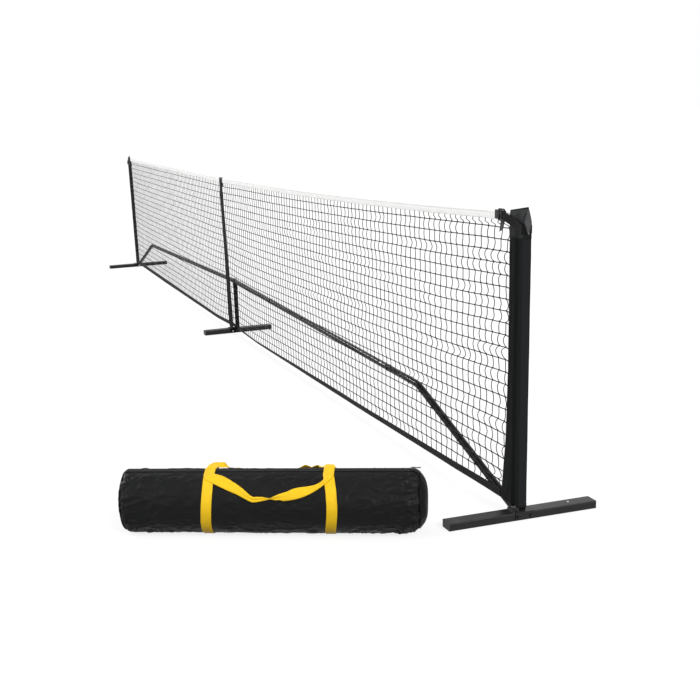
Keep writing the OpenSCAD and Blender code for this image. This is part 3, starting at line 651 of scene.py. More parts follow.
# How far the slack bottom band leans over to the front, as an angle, at places along the net.
BAND_LEAN = (
    (-3.30, -2.00, -1.00, -0.30, -0.05, 0.03, 0.12, 0.45, 0.80, 1.00, 1.30, 1.60, 2.20, 2.50, 2.80, 3.00, 3.30),
    (0.00, 0.00, 0.22, 0.34, 0.20, 0.35, 0.66, 0.66, 0.62, 0.52, 0.42, 0.33, 0.33, 0.25, 0.18, 0.10, 0.00))


def tape_top(x):
    """Height of the tape's top edge, which sags a little on the right half."""
    t = share(x, 0.26, 3.12)
    return 0.862 + 0.042 * abs(x) / POST_X - 4 * TAPE_SAG * t * (1 - t)


def tape_sway(x):
    """How far the whole tape stands aside from the net's plane."""
    return 0.0006 * wave(x * 6.0, 3.1, 0.0)


def band_lean_over(x):
    """The bottom band's lean at a place along the net."""
    return table(x, *BAND_LEAN)


def band_middle(x):
    """Height of the bottom band's middle line, which drops a little where the band leans over."""
    straight = table(abs(x), (0, 0.033, 0.42, 2.0118, 3.2636), (0.040, 0.040, 0.029, 0.0374, 0.050))
    return straight - 0.010 * band_lean_over(x)


def hem_x(z):
    """How far out the sleeve's hem meets the net at a height."""
    return table(z, (0.07, 0.23, 0.45), (SEAM_X - 0.030, SEAM_X - 0.010, SEAM_X))


def sway(x, level, seed):
    """How far the slack uprights stand aside: whole stretches of them lean the same way."""
    return wave(x * 1.7 + 5.0 * seed, level * 0.83, seed) + 0.45 * wave(x * 9.0, level * 1.9, -seed)


def row_height(side, x, j):
    """Height of a row. The rows gather a little towards the tape beside the sleeve."""
    t = j / ROWS
    high = tape_top(side * x) - 0.045
    low = band_middle(side * x) + 0.011 - 0.011 * band_lean_over(side * x)
    end = share(x, 2.75, 3.27) ** 2
    rise = 0.0155 * math.sin(math.pi * min(t * 1.22, 1.0)) - 0.010 * hump(t - 0.92, 0.06)
    middle = 0.0035 * math.sin(math.pi * t) * (1 - end)
    return high + (low - high) * t + rise * end + middle + 0.0007 * wave(x * 8.0, j * 3.3, side)


def make_netting(side, name):
    """One half of the net. Its rows run taut; the uprights between them are slack and bow from row to row."""
    chance = random.Random(31 + side)
    points, edges, taut, knots = [], [], [], []

    def put(x, z, knot=0.0):
        points.append((side * min(x, hem_x(z) + 0.0015), NET_Y, z))
        knots.append(knot)
        return len(points) - 1

    def row_shift(x, j):
        beat = 0.0020 * (-1) ** j * wave(x * 1.1, 7.7, 2.0 * side)
        return beat + 0.0090 * wave(x * 1.3, j * 1.37, 4.0 + side) + chance.gauss(0, 0.0007)

    before = [put(0.0, row_height(side, 0.0, j)) for j in range(ROWS)]
    for i in range(COLUMNS):
        x = (i + 0.5) * PITCH
        near = max(0.0, (i - 60) / 20)  # grows over the last columns, beside the sleeve
        bend = 0.0200 + 0.0040 * near
        last_x = x - 0.016 * near + chance.uniform(-0.003, 0.003)
        last = put(last_x, tape_top(side * x) - 0.0236)
        fork = put(last_x - 0.005 * near + chance.uniform(-0.002, 0.002), tape_top(side * x) - 0.0335)
        edges.append((last, fork))
        last = fork
        here = []
        for j in range(ROWS + 1):
            top = points[last][2]
            node_x = x + row_shift(x, j) + 0.006 * near * math.exp(-j) + (0.004 * near if j == 0 else 0.0)
            drop = row_height(side, x, j) - top
            bow = bend * (1.25 if j else 0.5) * sway(x, j + 0.5, 3.0 + side)
            turn = 0.0016 * chance.uniform(-1, 1)
            for t in (0.25, 0.5, 0.75, 1.0) if j else (0.5, 1.0):
                aside = 0.0 if t == 1 else bow * 4 * t * (1 - t) + turn * math.sin(2 * math.pi * t)
                point = put(last_x + (node_x - last_x) * t + aside, top + drop * t, float(t == 1))
                edges.append((last, point))
                last = point
            last_x = node_x
            here.append(last)
        for a, b in zip(before, here):
            drop = 0.0005 + 0.0004 * chance.random()
            half = put(0.5 * side * (points[a][0] + points[b][0]), 0.5 * (points[a][2] + points[b][2]) - drop)
            taut += [(a, half), (half, b)]
        before = here[:ROWS]
    for point in before:
        z = points[point][2]
        taut.append((point, put(hem_x(z) + 0.0015, z - 0.002)))
    host = new_piece(name, points, (), None, edges=edges + taut)
    in_row = [0.0] * len(edges) + [1.0] * len(taut)
    for label, domain, values in (("row", "EDGE", in_row), ("knot", "POINT", knots)):
        host.data.attributes.new(label, "FLOAT", domain).data.foreach_set("value", values)
    piece = NETTING.grow(host, name, "net_cord", Upright=0.0027, Row=0.0034, Knot=0.0029, Wander=0.0014, Wave=0.05,
                         Seed=7.0)
    wear(piece, "net_cord", "net_mesh")


def make_tape():
    """The white headband: folded over a cord, sewn under it, and sewn again along its hem."""
    section = [(0.0, 0.0), (-0.0011, -0.0004), (-0.0018, -0.0018), (-0.0019, -0.0036), (-0.0015, -0.0056),
               (-0.0010, -0.0074), (-0.0012, -0.0095), (-0.0014, -0.0130), (-0.0013, -0.0168),
               (-0.0009, -0.0196), (-0.0012, -0.0222), (-0.0012, -0.0248)]
    ring = section + [(-y, z) for y, z in reversed(section[1:])]
    hem = section[-1][1]
    stations = np.linspace(-SEAM_X, SEAM_X, 660)
    runs = length_along(ring)
    points, spread = [], []
    for x in stations:
        aside = NET_Y + tape_sway(x) + 0.0003 * wave(x * 24.0, 9.1, 0.0)
        ripple, flutter = 0.0008 * wave(x * 16.0, 1.7, 0.0), 0.0009 * wave(x * 11.0, 5.7, 0.0)
        for (y, z), run in zip(ring, runs):
            low = (z / hem) ** 2
            points.append((x, aside + y + ripple * low, tape_top(x) + z + flutter * low))
            spread.append((run, x))
    faces = tube_faces(len(stations), len(ring), capped=True)
    wear(mend(new_piece("headband", points, faces, "white_tape", spread)), "white_tape", "top_tape",
         flat=(2 * SEAM_X, 0.0265), held="stretched", rests_on=["netting_right", "netting_left"])
    rows = [[(x, NET_Y + face * out + tape_sway(x), tape_top(x) - drop)
             for x in np.linspace(-SEAM_X + 0.004, SEAM_X - 0.004, 330)]
            for face in (-1, 1) for drop, out in ((0.0074, 0.00125), (0.0196, 0.00115))]
    wear(sew("headband_stitches", rows, 0.0062, 0.0046, 0.0008, "white_thread"), "white_tape")


def make_bottom_band():
    """The black band under the net, which rolls over beside the centre foot."""
    middle, across = [], []
    for x in np.linspace(-SEAM_X + 0.030, SEAM_X - 0.030, 420):
        roll = -band_lean_over(x) + 0.05 * wave(x * 3.0, 0.4, 0.0)
        middle.append((x, NET_Y + 0.0006 * wave(x * 7.0, 8.0, 0.0),
                       band_middle(x) + 0.0010 * wave(x * 4.0, 2.0, 0.0)))
        across.append((0.0, math.sin(roll), math.cos(roll)))
    wear(strap("bottom_webbing", middle, across, 0.0278, 0.0029, "band_webbing", sides=6), "band_webbing",
         "bottom_band", flat=(6.527, 0.0305), held="stretched", rests_on=["netting_right", "netting_left"])
    rows = [[(m[0], m[1] + face * a[2] + edge * a[1], m[2] - face * a[1] + edge * a[2])
             for m, a in zip(middle, across)] for face in (-0.00148, 0.00148) for edge in (-0.0102, 0.0102)]
    wear(sew("band_stitches", rows, 0.0068, 0.0050, 0.0008), "band_webbing")


# ---------- end sleeves and hoods ----------
# They are drawn at the right post in plan: u runs from the post's middle to the net, and y to the back.

def sleeve_outline(tail):
    """The sleeve's outline, from the hem round the post and back, and its outward directions."""
    o = 0.0126
    corners = [(tail, -0.0165), (0.0296, -0.0165), (o, -o), (-o, -o), (-o, o), (o, o), (0.0456, -0.0135),
               (tail, -0.0135)]
    line = []
    for a, b, n in zip(corners, corners[1:], (9, 7, 12, 12, 12, 11, 5)):
        for k in range(n):
            t = k / n if n != 12 else 0.5 - 0.5 * math.cos(math.pi * k / n)
            line.append((a[0] + (b[0] - a[0]) * t, a[1] + (b[1] - a[1]) * t))
    line += [corners[-1], (tail + 0.0006, -0.0150)]
    plan = np.array(line)
    soft = plan.copy()
    for _ in range(2):
        soft = 0.5 * soft + 0.25 * np.roll(soft, 1, axis=0) + 0.25 * np.roll(soft, -1, axis=0)
    plan = np.where((plan[:, 0] < 0.02)[:, None], 0.35 * plan + 0.65 * soft, plan)
    ahead = np.roll(plan, -1, axis=0) - np.roll(plan, 1, axis=0)
    out = unit(np.stack([ahead[:, 1], -ahead[:, 0]], axis=1))
    on_post = 30  # a point on the post's far side, where outward is away from the middle
    if np.sum(plan[on_post] * out[on_post]) < 0:
        out = -out
    return plan, out


def ring_round(plan, out, gap, z):
    """A level ring round the sleeve, a little off its cloth."""
    return [(POST_X - (u + nu * gap), y + ny * gap, z) for (u, y), (nu, ny) in zip(plan, out)]


def make_sleeve():
    """The fabric sleeve: a pocket sewn round the post, and a panel that runs to the net's hem."""
    top, pocket_seam, hem_seam = 0.838, 0.0178, 0.0515
    heights = np.concatenate([np.linspace(0.036, 0.056, 9), np.linspace(0.060, 0.832, 92), [0.835, top]])
    points, spread = [], []
    for z in heights:
        plan, out = sleeve_outline(POST_X - hem_x(z))
        hem = 0.0006 * hump(z - 0.043, 0.006, 4) - 0.0003 * hump(z - hem_seam, 0.0015)
        calm = min(1.0, (top - z) / 0.05)
        for (u, y), (nu, ny), run in zip(plan, out, length_along(plan)):
            pocket = hump(u - pocket_seam, 0.0018) if y < 0 else 0.0
            fold = 0.0008 * wave(u * 70.0 + 2.0 * math.sin(z * 9.0), z * 5.0, 4.0 * (y > -0.01))
            sag = 0.0006 * wave(u * 30.0, z * 16.0, 7.0)
            pucker = 0.0004 * math.sin(z * 520.0) * pocket
            slack = fold * (0.5 + 0.6 * share(u, 0.019, 0.027)) + sag * 0.5
            move = max(calm * slack - 0.0005 * pocket + pucker + hem, -0.0004)
            points.append((POST_X - (u + nu * move), y + ny * move, z))
            spread.append((run, z))
    sleeve = new_piece("sleeve_cloth_right", points, tube_faces(len(heights), len(plan)), "sleeve_fabric", spread)
    both_ends(thicken(sleeve, 0.0011), "sleeve_fabric", "sleeve_right", flat=(0.239, 0.802), held="stretched",
              rests_on=["post_right"], area=0.153)
    tall = np.linspace(0.056, 0.830, 90)
    rows = [[(POST_X - pocket_seam, y, z) for z in tall] for y in (-0.0141, 0.0091)]
    rows += [[(hem_x(z) + 0.005, y, z) for z in tall] for y in (-0.0168, -0.0132)]
    rows.append(ring_round(*sleeve_outline(POST_X - hem_x(hem_seam)), 0.0004, hem_seam))
    both_ends(sew("sleeve_stitches_right", rows, 0.0040, 0.0030, 0.0006), "sleeve_fabric")


HOOD_EAVES = 0.55  # the share of the way up the hood's cloth at which its roof begins


def hood_ridge(u):
    """How far back the hood's ridge lies, and its height."""
    back = table(u, (-0.0126, 0.0296, HOOD_FRONT), (0.0030, -0.0050, -0.0150))
    return back, 0.9195 - 0.0112 * (u + 0.0126) / 0.072


def hood_point(u, y, t):
    """A point of the hood: t is 0 at its lower edge and 1 at its ridge."""
    low = 0.8335
    outer = u < -0.0118
    ridge_y, top = hood_ridge(u)
    eaves = (0.8800, 0.8870, 0.9000) if y < ridge_y else (0.8790, 0.8840, 0.8990)
    eave = 0.8790 if outer else table(u, (-0.0126, 0.0126, HOOD_FRONT), eaves)
    if t < HOOD_EAVES:
        return u, y, low + (eave - low) * t / HOOD_EAVES
    k = (t - HOOD_EAVES) / (1 - HOOD_EAVES)
    bulge = 0.0011 * math.sin(math.pi * k)
    aside = 0.0 if outer else (bulge if y > ridge_y else -bulge) * (1 - share(u, HOOD_FRONT - 0.03, HOOD_FRONT))
    return (u + (max(u, -0.0102) - u) * k - (bulge if outer else 0.0),
            y + (ridge_y - y) * k + aside,
            eave + (top - eave) * k ** 0.92)


def make_hood():
    """The sewn hood over the post's end: gabled, bound along its ridge, with a kite-shaped end gusset."""
    plan, out = sleeve_outline(HOOD_FRONT)
    runs = length_along(plan)
    levels = np.concatenate([np.linspace(0, HOOD_EAVES, 12), np.linspace(0.58, 1.0, 14)])
    points, spread = [], []
    for t in levels:
        calm = 1.0 - t ** 4
        for (u, y), (nu, ny), run in zip(plan, out, runs):
            hu, hy, hz = hood_point(u, y, t)
            dent = 0.0005 * wave(u * 60.0, hz * 45.0, y * 60.0) * calm
            move = max(dent, -0.0003) + 0.00045 * calm + 0.0003 * hump(t - 0.03, 0.04)
            points.append((POST_X - (hu + nu * move), hy + ny * move, hz))
            spread.append((run, hz))
    hood = new_piece("hood_cloth_right", points, tube_faces(len(levels), len(plan)), "hood_fabric", spread)
    both_ends(thicken(mend(hood, 0.00035), 0.0009), "hood_fabric", "hood_right", flat=(0.180, 0.086),
              held="stretched", rests_on=["post_plugs"], area=0.0140)

    ridge = [(POST_X - u, hood_ridge(u)[0], hood_ridge(u)[1] + 0.0002) for u in np.linspace(-0.0102, 0.0588, 24)]
    both_ends(strap("hood_binding_right", ridge, UP, 0.0034, 0.0026, "hood_fabric", sides=5), "hood_fabric")

    kite = [(3.36910, 0.0012, 0.8455), (3.36905, 0.0008, 0.8560), (3.36880, 0.0004, 0.8680),
            (3.36760, 0.0002, 0.8790), (3.36660, 0.0010, 0.8900), (3.36560, 0.0020, 0.9020),
            (3.36400, 0.0029, 0.9140), (3.36330, 0.0030, 0.9190)]
    path = smooth_line(kite, 4)
    wide = np.interp(path[:, 2], (0.8455, 0.8600, 0.8790, 0.9000, 0.9190),
                     (0.0030, 0.0128, 0.0240, 0.0125, 0.0014))
    # The gusset's cloth is painted lighter than the hood's, as painted light where it faces the key lamp.
    both_ends(strap("hood_gusset_right", path, (0, 1, 0), wide, 0.0010, "gusset_fabric"), "hood_fabric")
    edges = [[(x + 0.0006, y + side * max(w / 2 - 0.0016, 0.0002), z) for (x, y, z), w in zip(path, wide)]
             for side in (-1, 1)]
    both_ends(sew("gusset_stitches_right", edges, 0.0034, 0.0026, 0.0006), "hood_fabric")
    tack = [[(3.3699, y, 0.8462 + 0.0008 * k) for y in (-0.0007, 0.0031)] for k in range(9)]
    both_ends(sew("gusset_tack_right", tack, 0.0013, 0.0016, 0.0008, "grey_thread"), "hood_fabric")
    rim = ring_round(plan, out, 0.0011, 0.8372)
    both_ends(sew("hood_stitches_right", [rim], 0.0040, 0.0030, 0.0006), "hood_fabric")


# ---------- straps, loops and the centre strap ----------

def make_tension_straps():
    """The strap from the ring round the post, its loose tail, and the loop that holds the ring to the tape."""
    thick = 0.00145
    line = rounded_line([
        (3.2715, -0.01805, 0.894), (3.26355, -0.01805, 0.894), (3.26355, -0.02415, 0.894),
        (3.2716, -0.02415, 0.8916), (3.3270, -0.01755, 0.8732), (3.36665, -0.01755, 0.8599),
        (3.36665, 0.01365, 0.8599), (3.3450, 0.01365, 0.8599)], 0.0022, 0.003)
    both_ends(strap("tension_strap_right", line, UP, 0.0246, thick, "black_webbing"), "black_webbing",
              "strap_right", flat=(0.0250, 0.158), held="stretched", rests_on=["adjuster_right", "post_right"])

    drop = [(3.2540 - 0.0016 * t, -0.01805 - 0.0042 * t ** 2.2, 0.8925 - 0.0430 * t)
            for t in np.linspace(0, 1, 16)]
    tail = strap("strap_tail_right", drop, (1, 0, 0.12), 0.0235, thick, "grey_webbing")
    swell(tail, lambda p: Vector((0, 0, -0.40 * (3.2527 - p.x) * share(-p.z, -0.87, -0.85))))
    both_ends(tail, "grey_webbing", "strap_right", flat=(0.0250, 0.049), held="hung", rests_on=["adjuster_right"])

    line = rounded_line([
        (3.2090, -0.01790, 0.894), (3.23965, -0.01790, 0.894), (3.23965, -0.02415, 0.894),
        (3.2170, -0.02390, 0.894), (3.2088, -0.01985, 0.894)], 0.0020, 0.003)
    both_ends(strap("ring_loop_right", line, UP, 0.0248, thick, "grey_webbing"), "grey_webbing",
              "adjuster_loops", flat=(0.0250, 0.071), held="folded", rests_on=["headband"])

    left, right, low, high = 3.3468, 3.3593, 0.8500, 0.8700
    rows = [[(a, 0.01445, p), (b, 0.01445, q)] for a, p, b, q in (
        (right, low, right, high), (left, low, left, high), (left, low, right, high), (left, high, right, low))]
    rows += [[(x, y, 0.8836), (x, y, 0.9044)] for x, y in ((3.2106, -0.0212), (3.2132, -0.02237))]
    both_ends(sew("strap_stitches_right", rows, 0.0030, 0.0024, 0.0007), "black_webbing")


def make_centre_strap():
    """The wide strap that holds the tape down at the middle: cap, strap and the webbing on the foot."""
    thick = 0.0015
    line = rounded_line([(0.0, -0.0500, 0.02785), (0.0, -0.0365, 0.02785), (-0.1250, -0.01955, 0.8580)],
                        0.0030, 0.012)
    risen = np.clip((line[:, 2] - 0.03) / 0.80, 0, 1)
    line[:, 1] += 0.0010 * np.sin(risen * math.pi) ** 2
    twist = np.interp(risen, (0.0, 0.02, 0.08, 0.5, 0.93, 1.0), (0.06, 0.22, 0.26, 0.15, 0.10, 0.0))
    across = np.stack([np.cos(twist), np.sin(twist), 0 * twist], axis=1)
    wear(strap("centre_webbing", line, across, 0.0500, thick, "black_webbing", sides=9), "black_webbing",
         "centre_strap", flat=(0.050, 0.860), held="stretched", rests_on=["foot_centre", "headband"])
    line = rounded_line([(-0.125, y, z) for y, z in (
        (-0.01810, 0.8160), (-0.01810, 0.8670), (-0.01190, 0.8670), (-0.01190, 0.8160))], 0.0026, 0.0025)
    wear(strap("tape_cap", line, (1, 0, 0), 0.0600, thick, "cap_webbing", sides=9), "grey_webbing",
         "strap_cap", flat=(0.060, 0.108), held="folded", rests_on=["headband"])
    line = rounded_line([(x, -0.0348, z) for x, z in (
        (-0.02610, 0.0032), (-0.02610, 0.02610), (0.02610, 0.02610), (0.02610, 0.0032))], 0.0024, 0.0025)
    wear(strap("foot_webbing", line, (0, 1, 0), 0.0330, thick, "black_webbing"), "black_webbing",
         "foot_web", flat=(0.033, 0.097), held="folded", rests_on=["foot_centre"])
    left, right, low, high = -0.1440, -0.1050, 0.8270, 0.8530
    rows = [[(a, -0.02085, p), (b, -0.02085, q)] for a, p, b, q in (
        (left, low, left, high), (right, low, right, high), (left, low, right, low),
        (left, high, right, high), (left, low, right, high), (left, high, right, low))]
    front, back = -0.0460, -0.0240
    rows += [[(-0.0210, y, 0.02880), (0.0210, to, 0.02880)] for y, to in (
        (front, front), (back, back), (front, back), (back, front))]
    wear(sew("centre_stitches", rows, 0.0034, 0.0028, 0.0008), "black_webbing")
    profile = [(0.0, 0.0019), (0.0016, 0.0018), (0.0030, 0.0013), (0.0037, 0.0006), (0.0039, 0.0001),
               (0.0039, -0.0004), (0.0, -0.0004)]
    for side, name in ((1, "foot_rivet_right"), (-1, "foot_rivet_left")):
        place, axis = Vector((side * 0.02685, -0.0353, 0.0125)), Vector((side, 0, 0))
        wear(turned(name, profile, place, axis, "zinc_steel"), "zinc_steel", "foot_web")


# ---------- carry bag ----------
# s is a place along the bag. Angles go round it: 0 degrees faces the camera and 90 is its top.

def on_bag(s, depth, rise):
    """A place by the bag: along its axis, away from the camera, and up from the axis."""
    return BAG_MIDDLE + BAG_ALONG * s + BAG_DEPTH * depth + UP * rise


def round_bag(s, angle, radius):
    """A place round the bag."""
    a = math.radians(angle)
    return on_bag(s, -radius * math.cos(a), radius * math.sin(a))


def bag_profile(s, angle):
    """The bag's radius along it: straight, then rounded over to each end."""
    top = hump(angle - 90.0, 55.0)
    start, end, power = (0.416 + 0.006 * top, 0.4570, 2.8) if s < 0 else (0.396 + 0.018 * top, 0.4708, 2.5)
    t = max(0.0, (abs(s) - start) / (end - start))
    return BAG_RADIUS * max(0.0, 1 - t ** power) ** (1 / power)


def bag_crease(s, angle):
    """How far the cloth stands in or out: long slack folds, gathers at the ends, calm under bands and zip."""
    a = math.radians(angle)
    c, n = math.cos(a), math.sin(a)
    lean = 1.6 * s * (1 if s > 0 else -0.6)
    long_fold = wave(s * 4.2, c * 2.6 + lean, n * 2.6)
    slant = wave(s * 11.0 + 2.2 * c, c * 2.9 - 3.0 * s, n * 2.9 + 4.0)
    cross = wave(s * 16.0 - 3.0 * n, c * 3.7 + 5.0 * s, n * 3.7 - 2.0)
    ridge = max(1.0 - min(1.0, abs(slant) * 6.5), 0.75 * (1.0 - min(1.0, abs(cross) * 7.0)))
    fine = wave(s * 34.0, c * 6.0, n * 6.0 + 9.0)
    small = 1.0 - min(1.0, 5.0 * abs(wave(s * 27.0 + 4.0 * c, c * 6.5 - 2.0 * s, n * 6.5 + 1.0)))
    end = share(abs(s), 0.27, 0.43)
    end = end * end * (3 - 2 * end)
    right = 1.0 if s > 0 else 0.45
    patch = clip(1.6 * wave(s * 5.0, c * 1.5, n * 1.5 + 3.0) + 0.45)
    move = 0.0018 * long_fold + (0.0028 + 0.0034 * end * right) * (ridge ** 1.5 - 0.55)
    move += 0.0012 * fine * (0.6 + end) + 0.0030 * (small ** 1.5 - 0.3) * max(patch, end)
    gather = math.sin(angle * 0.30 + 6.0 * wave(c * 2.0, n * 2.0, s * 3.0))
    move += 0.0007 * share(abs(s), 0.405, 0.445) * gather * (0.4 + 0.6 * right)
    bands = min(share(abs(s - place), 0.018, 0.048) for place in BANDS.values())
    beside_zip = abs(((angle + 90.0) % 360.0) - 180.0)
    return move * min(bands, clip((beside_zip - 10.0) / 9.0, 0.12))


def on_floor(point, low):
    """Keeps a point above a height."""
    point.z = max(point.z, low)
    return point


def make_bag_body(around):
    """The bag's round body. Its ends are closed behind the sewn-in panels."""
    curve = 0.054 * (1 - np.cos(np.linspace(0, math.pi / 2, 26))) ** 0.85
    stations = np.concatenate([curve - 0.4405, np.linspace(-0.3835, 0.389, 190), (0.4462 - curve)[::-1]])
    points, spread = [], []
    low, soft = 0.0021, 0.004
    for s in stations:
        for k in range(around):
            angle = 360.0 * k / around
            p = round_bag(s, angle, bag_profile(s, angle) + bag_crease(s, angle))
            if p.z < low + soft:
                p.z = low + soft * ((max(p.z - low, -soft) + soft) / (2 * soft)) ** 2
            points.append(p)
            spread.append((math.radians(angle) * BAG_RADIUS, s))
    faces = tube_faces(len(stations), around)
    for row in (0, len(stations) - 1):
        s = stations[row] * 0.998
        faces += [(len(points), row * around + (k + 1) % around, row * around + k) for k in range(around)]
        points.append(on_bag(s, 0.0, 0.0))
        spread.append((0.0, s))
    body = mend(new_piece("bag_cloth", points, faces, "bag_fabric", spread))
    wear(body, "bag_fabric", "bag_body", "bag")


def make_bag_end(around, side, name, rim, tip):
    """A round end panel, the piping round it and the stitches beside the piping."""
    points, spread = [], []
    levels = 1 - (1 - np.linspace(0, 1, 22)) ** 1.6
    for t in levels:
        s = side * (rim + (tip - rim) * math.sin(t * math.pi / 2) ** 0.8)
        for k in range(around):
            angle = 360.0 * k / around
            a = math.radians(angle)
            radius = bag_profile(side * rim, angle) * (1 - t) ** 0.55
            pucker = 0.0011 * wave(math.cos(a) * 2.4 * (1 - t), math.sin(a) * 2.4 * (1 - t), side * 5.0)
            pucker += 0.0006 * math.sin(angle * 0.38 + side) * (1 - t) * min(1.0, t * 4)
            p = on_floor(round_bag(s + side * (pucker - 0.0006) * min(1.0, t * 5 + 0.1), angle, radius), 0.0023)
            points.append(p)
            spread.append((p.dot(BAG_DEPTH), p.z))
    hub = on_bag(side * (rim - 0.0006), 0.0, 0.0)
    faces = tube_faces(len(levels), around) + [(len(points), k, (k + 1) % around) for k in range(around)]
    points.append(hub)
    spread.append((hub.dot(BAG_DEPTH), hub.z))
    panel = mend(new_piece("bag_end_" + name, points, faces, "bag_end_fabric", spread), 0.0002)
    wear(panel, "bag_fabric", "bag_ends", "bag")
    degrees = [3.0 * k for k in range(121)]
    ring = [on_floor(round_bag(side * (rim + 0.0003), a, bag_profile(side * rim, a) + 0.0004), 0.0034)
            for a in degrees]
    wear(cord_ring("bag_piping_" + name, ring, 0.00125, "bag_end_fabric"), "bag_fabric", "bag_ends", "bag")
    s = side * (rim - 0.0052)
    row = [on_floor(round_bag(s, a, bag_profile(s, a) + 0.0002 + bag_crease(s, a)), 0.0020) for a in degrees]
    wear(sew("bag_end_stitches_" + name, [row], 0.0042, 0.0030, 0.0007), "bag_fabric", body="bag")


# The bands were sewn a little askew: angles round the bag, and how far along it they stand aside there.
BAND_ASKEW = {
    "near": ((-90.0, -45.0, -22.0, -5.0, 17.0, 35.0, 72.0, 114.0),
             (-0.0105, -0.0090, -0.0060, -0.0026, 0.0, 0.0014, 0.0, 0.0)),
    "far": ((-90.0, -45.0, -22.0, -5.0, 10.0, 35.0, 72.0, 114.0),
            (-0.0105, -0.0075, -0.0028, 0.0, 0.0010, -0.0015, -0.0113, -0.0113)),
}


def band_lean(name, angle):
    """How far a band stands aside at an angle. Below -90 degrees it runs up the far side."""
    if angle < -90.0:
        angle = min(-180.0 - angle, 114.0)
    return table(angle, *BAND_ASKEW[name])


def patch_radius(angle, tag):
    """A handle's end lies on the band. On the camera's side it turns up a little beside the zip."""
    return 0.0995 + (0.0034 * max(0.0, 1 - (87.0 - angle) / 9.0) ** 2 if tag == "front" else 0.0)


def make_band(name, place):
    """A yellow band round the bag and the two handle ends sewn over it. Returns its rows of stitches."""
    angles = np.linspace(76.0, -256.0, 170)
    path = []
    for angle in angles:
        s = place + band_lean(name, angle) + 0.0008 * math.sin(math.radians(angle) * 2 + place * 9)
        path.append(on_floor(round_bag(s, angle, 0.09775), 0.00095))
    wear(strap("bag_band_" + name, path, BAG_ALONG, 0.0312, 0.0016, "yellow_webbing", sides=9), "yellow_webbing",
         "bag_bands", "bag", flat=(0.031, 0.566), held="stretched", rests_on=["bag_cloth"])
    rows = []
    for edge in (-0.0131, 0.0131):
        line = []
        for angle in angles[4:-4]:
            p = round_bag(place + edge + band_lean(name, angle), angle, 0.09862)
            if p.z > 0.004:
                line.append(p)
            elif line:
                rows.append(line)
                line = []
        rows.append(line)
    for start, end, tag in ((66.0, 87.0, "front"), (93.0, 114.0, "back")):
        centre = place + band_lean(name, 80.0)
        path = [round_bag(centre, a, patch_radius(a, tag)) for a in np.linspace(start, end, 20)]
        patch = strap("handle_end_" + tag + "_" + name, path, BAG_ALONG, 0.0315, 0.0017, "yellow_webbing", sides=9)
        wear(patch, "yellow_webbing", "bag_bands", "bag", flat=(0.031, 0.0365), held="stretched",
             rests_on=["bag_band_" + name])
        low, high, half = start + 1.6, end - 1.6, 0.0126
        for from_t, from_a, to_t, to_a in ((-half, low, half, low), (-half, high, half, high),
                                           (-half, low, -half, high), (half, low, half, high),
                                           (half, low, -half, high), (-half, low, half, high)):
            rows.append([round_bag(centre + t, a, patch_radius(a, tag) + 0.00095)
                         for t, a in zip(np.linspace(from_t, to_t, 9), np.linspace(from_a, to_a, 9))])
    return [row for row in rows if len(row) > 1]


# The front handle's two edges as it lies on the bag: millimetres along the bag, and degrees round it.
FRONT_UPPER = ((-158.4, 72.0), (-131.3, 65.7), (-101.2, 54.2), (-68.7, 40.6), (-40.4, 27.0), (-25.3, 25.7),
               (-8.8, 25.7), (1.8, 24.4), (15.1, 23.9), (26.4, 26.9), (43.9, 30.9), (66.2, 35.2), (88.0, 40.6),
               (132.4, 44.8), (153.4, 49.1), (167.5, 57.1), (167.2, 64.0), (166.3, 70.0))
FRONT_LOWER = ((-189.6, 68.0), (-181.0, 57.5), (-160.1, 50.2), (-121.4, 38.9), (-82.8, 29.0), (-44.7, 17.7),
               (-29.6, 16.4), (1.9, 19.7), (15.1, 21.4), (29.5, 19.8), (44.2, 19.8), (54.7, 18.6), (81.6, 20.6),
               (106.6, 24.4), (133.2, 31.0), (156.6, 39.7), (175.1, 49.1), (188.0, 57.3), (196.0, 64.0),
               (197.5, 70.0))


def even_edge(edge, count):
    """An edge of the front handle at even steps, in metres and degrees, and its length."""
    s, angle = smooth_line([(s / 1000, a) for s, a in edge], 12).T
    run = length_along(np.stack([s, np.radians(angle) * BAG_RADIUS], axis=1))
    want = np.linspace(0, run[-1], count)
    return np.stack([np.interp(want, run, s), np.interp(want, run, angle)], axis=1), run[-1]


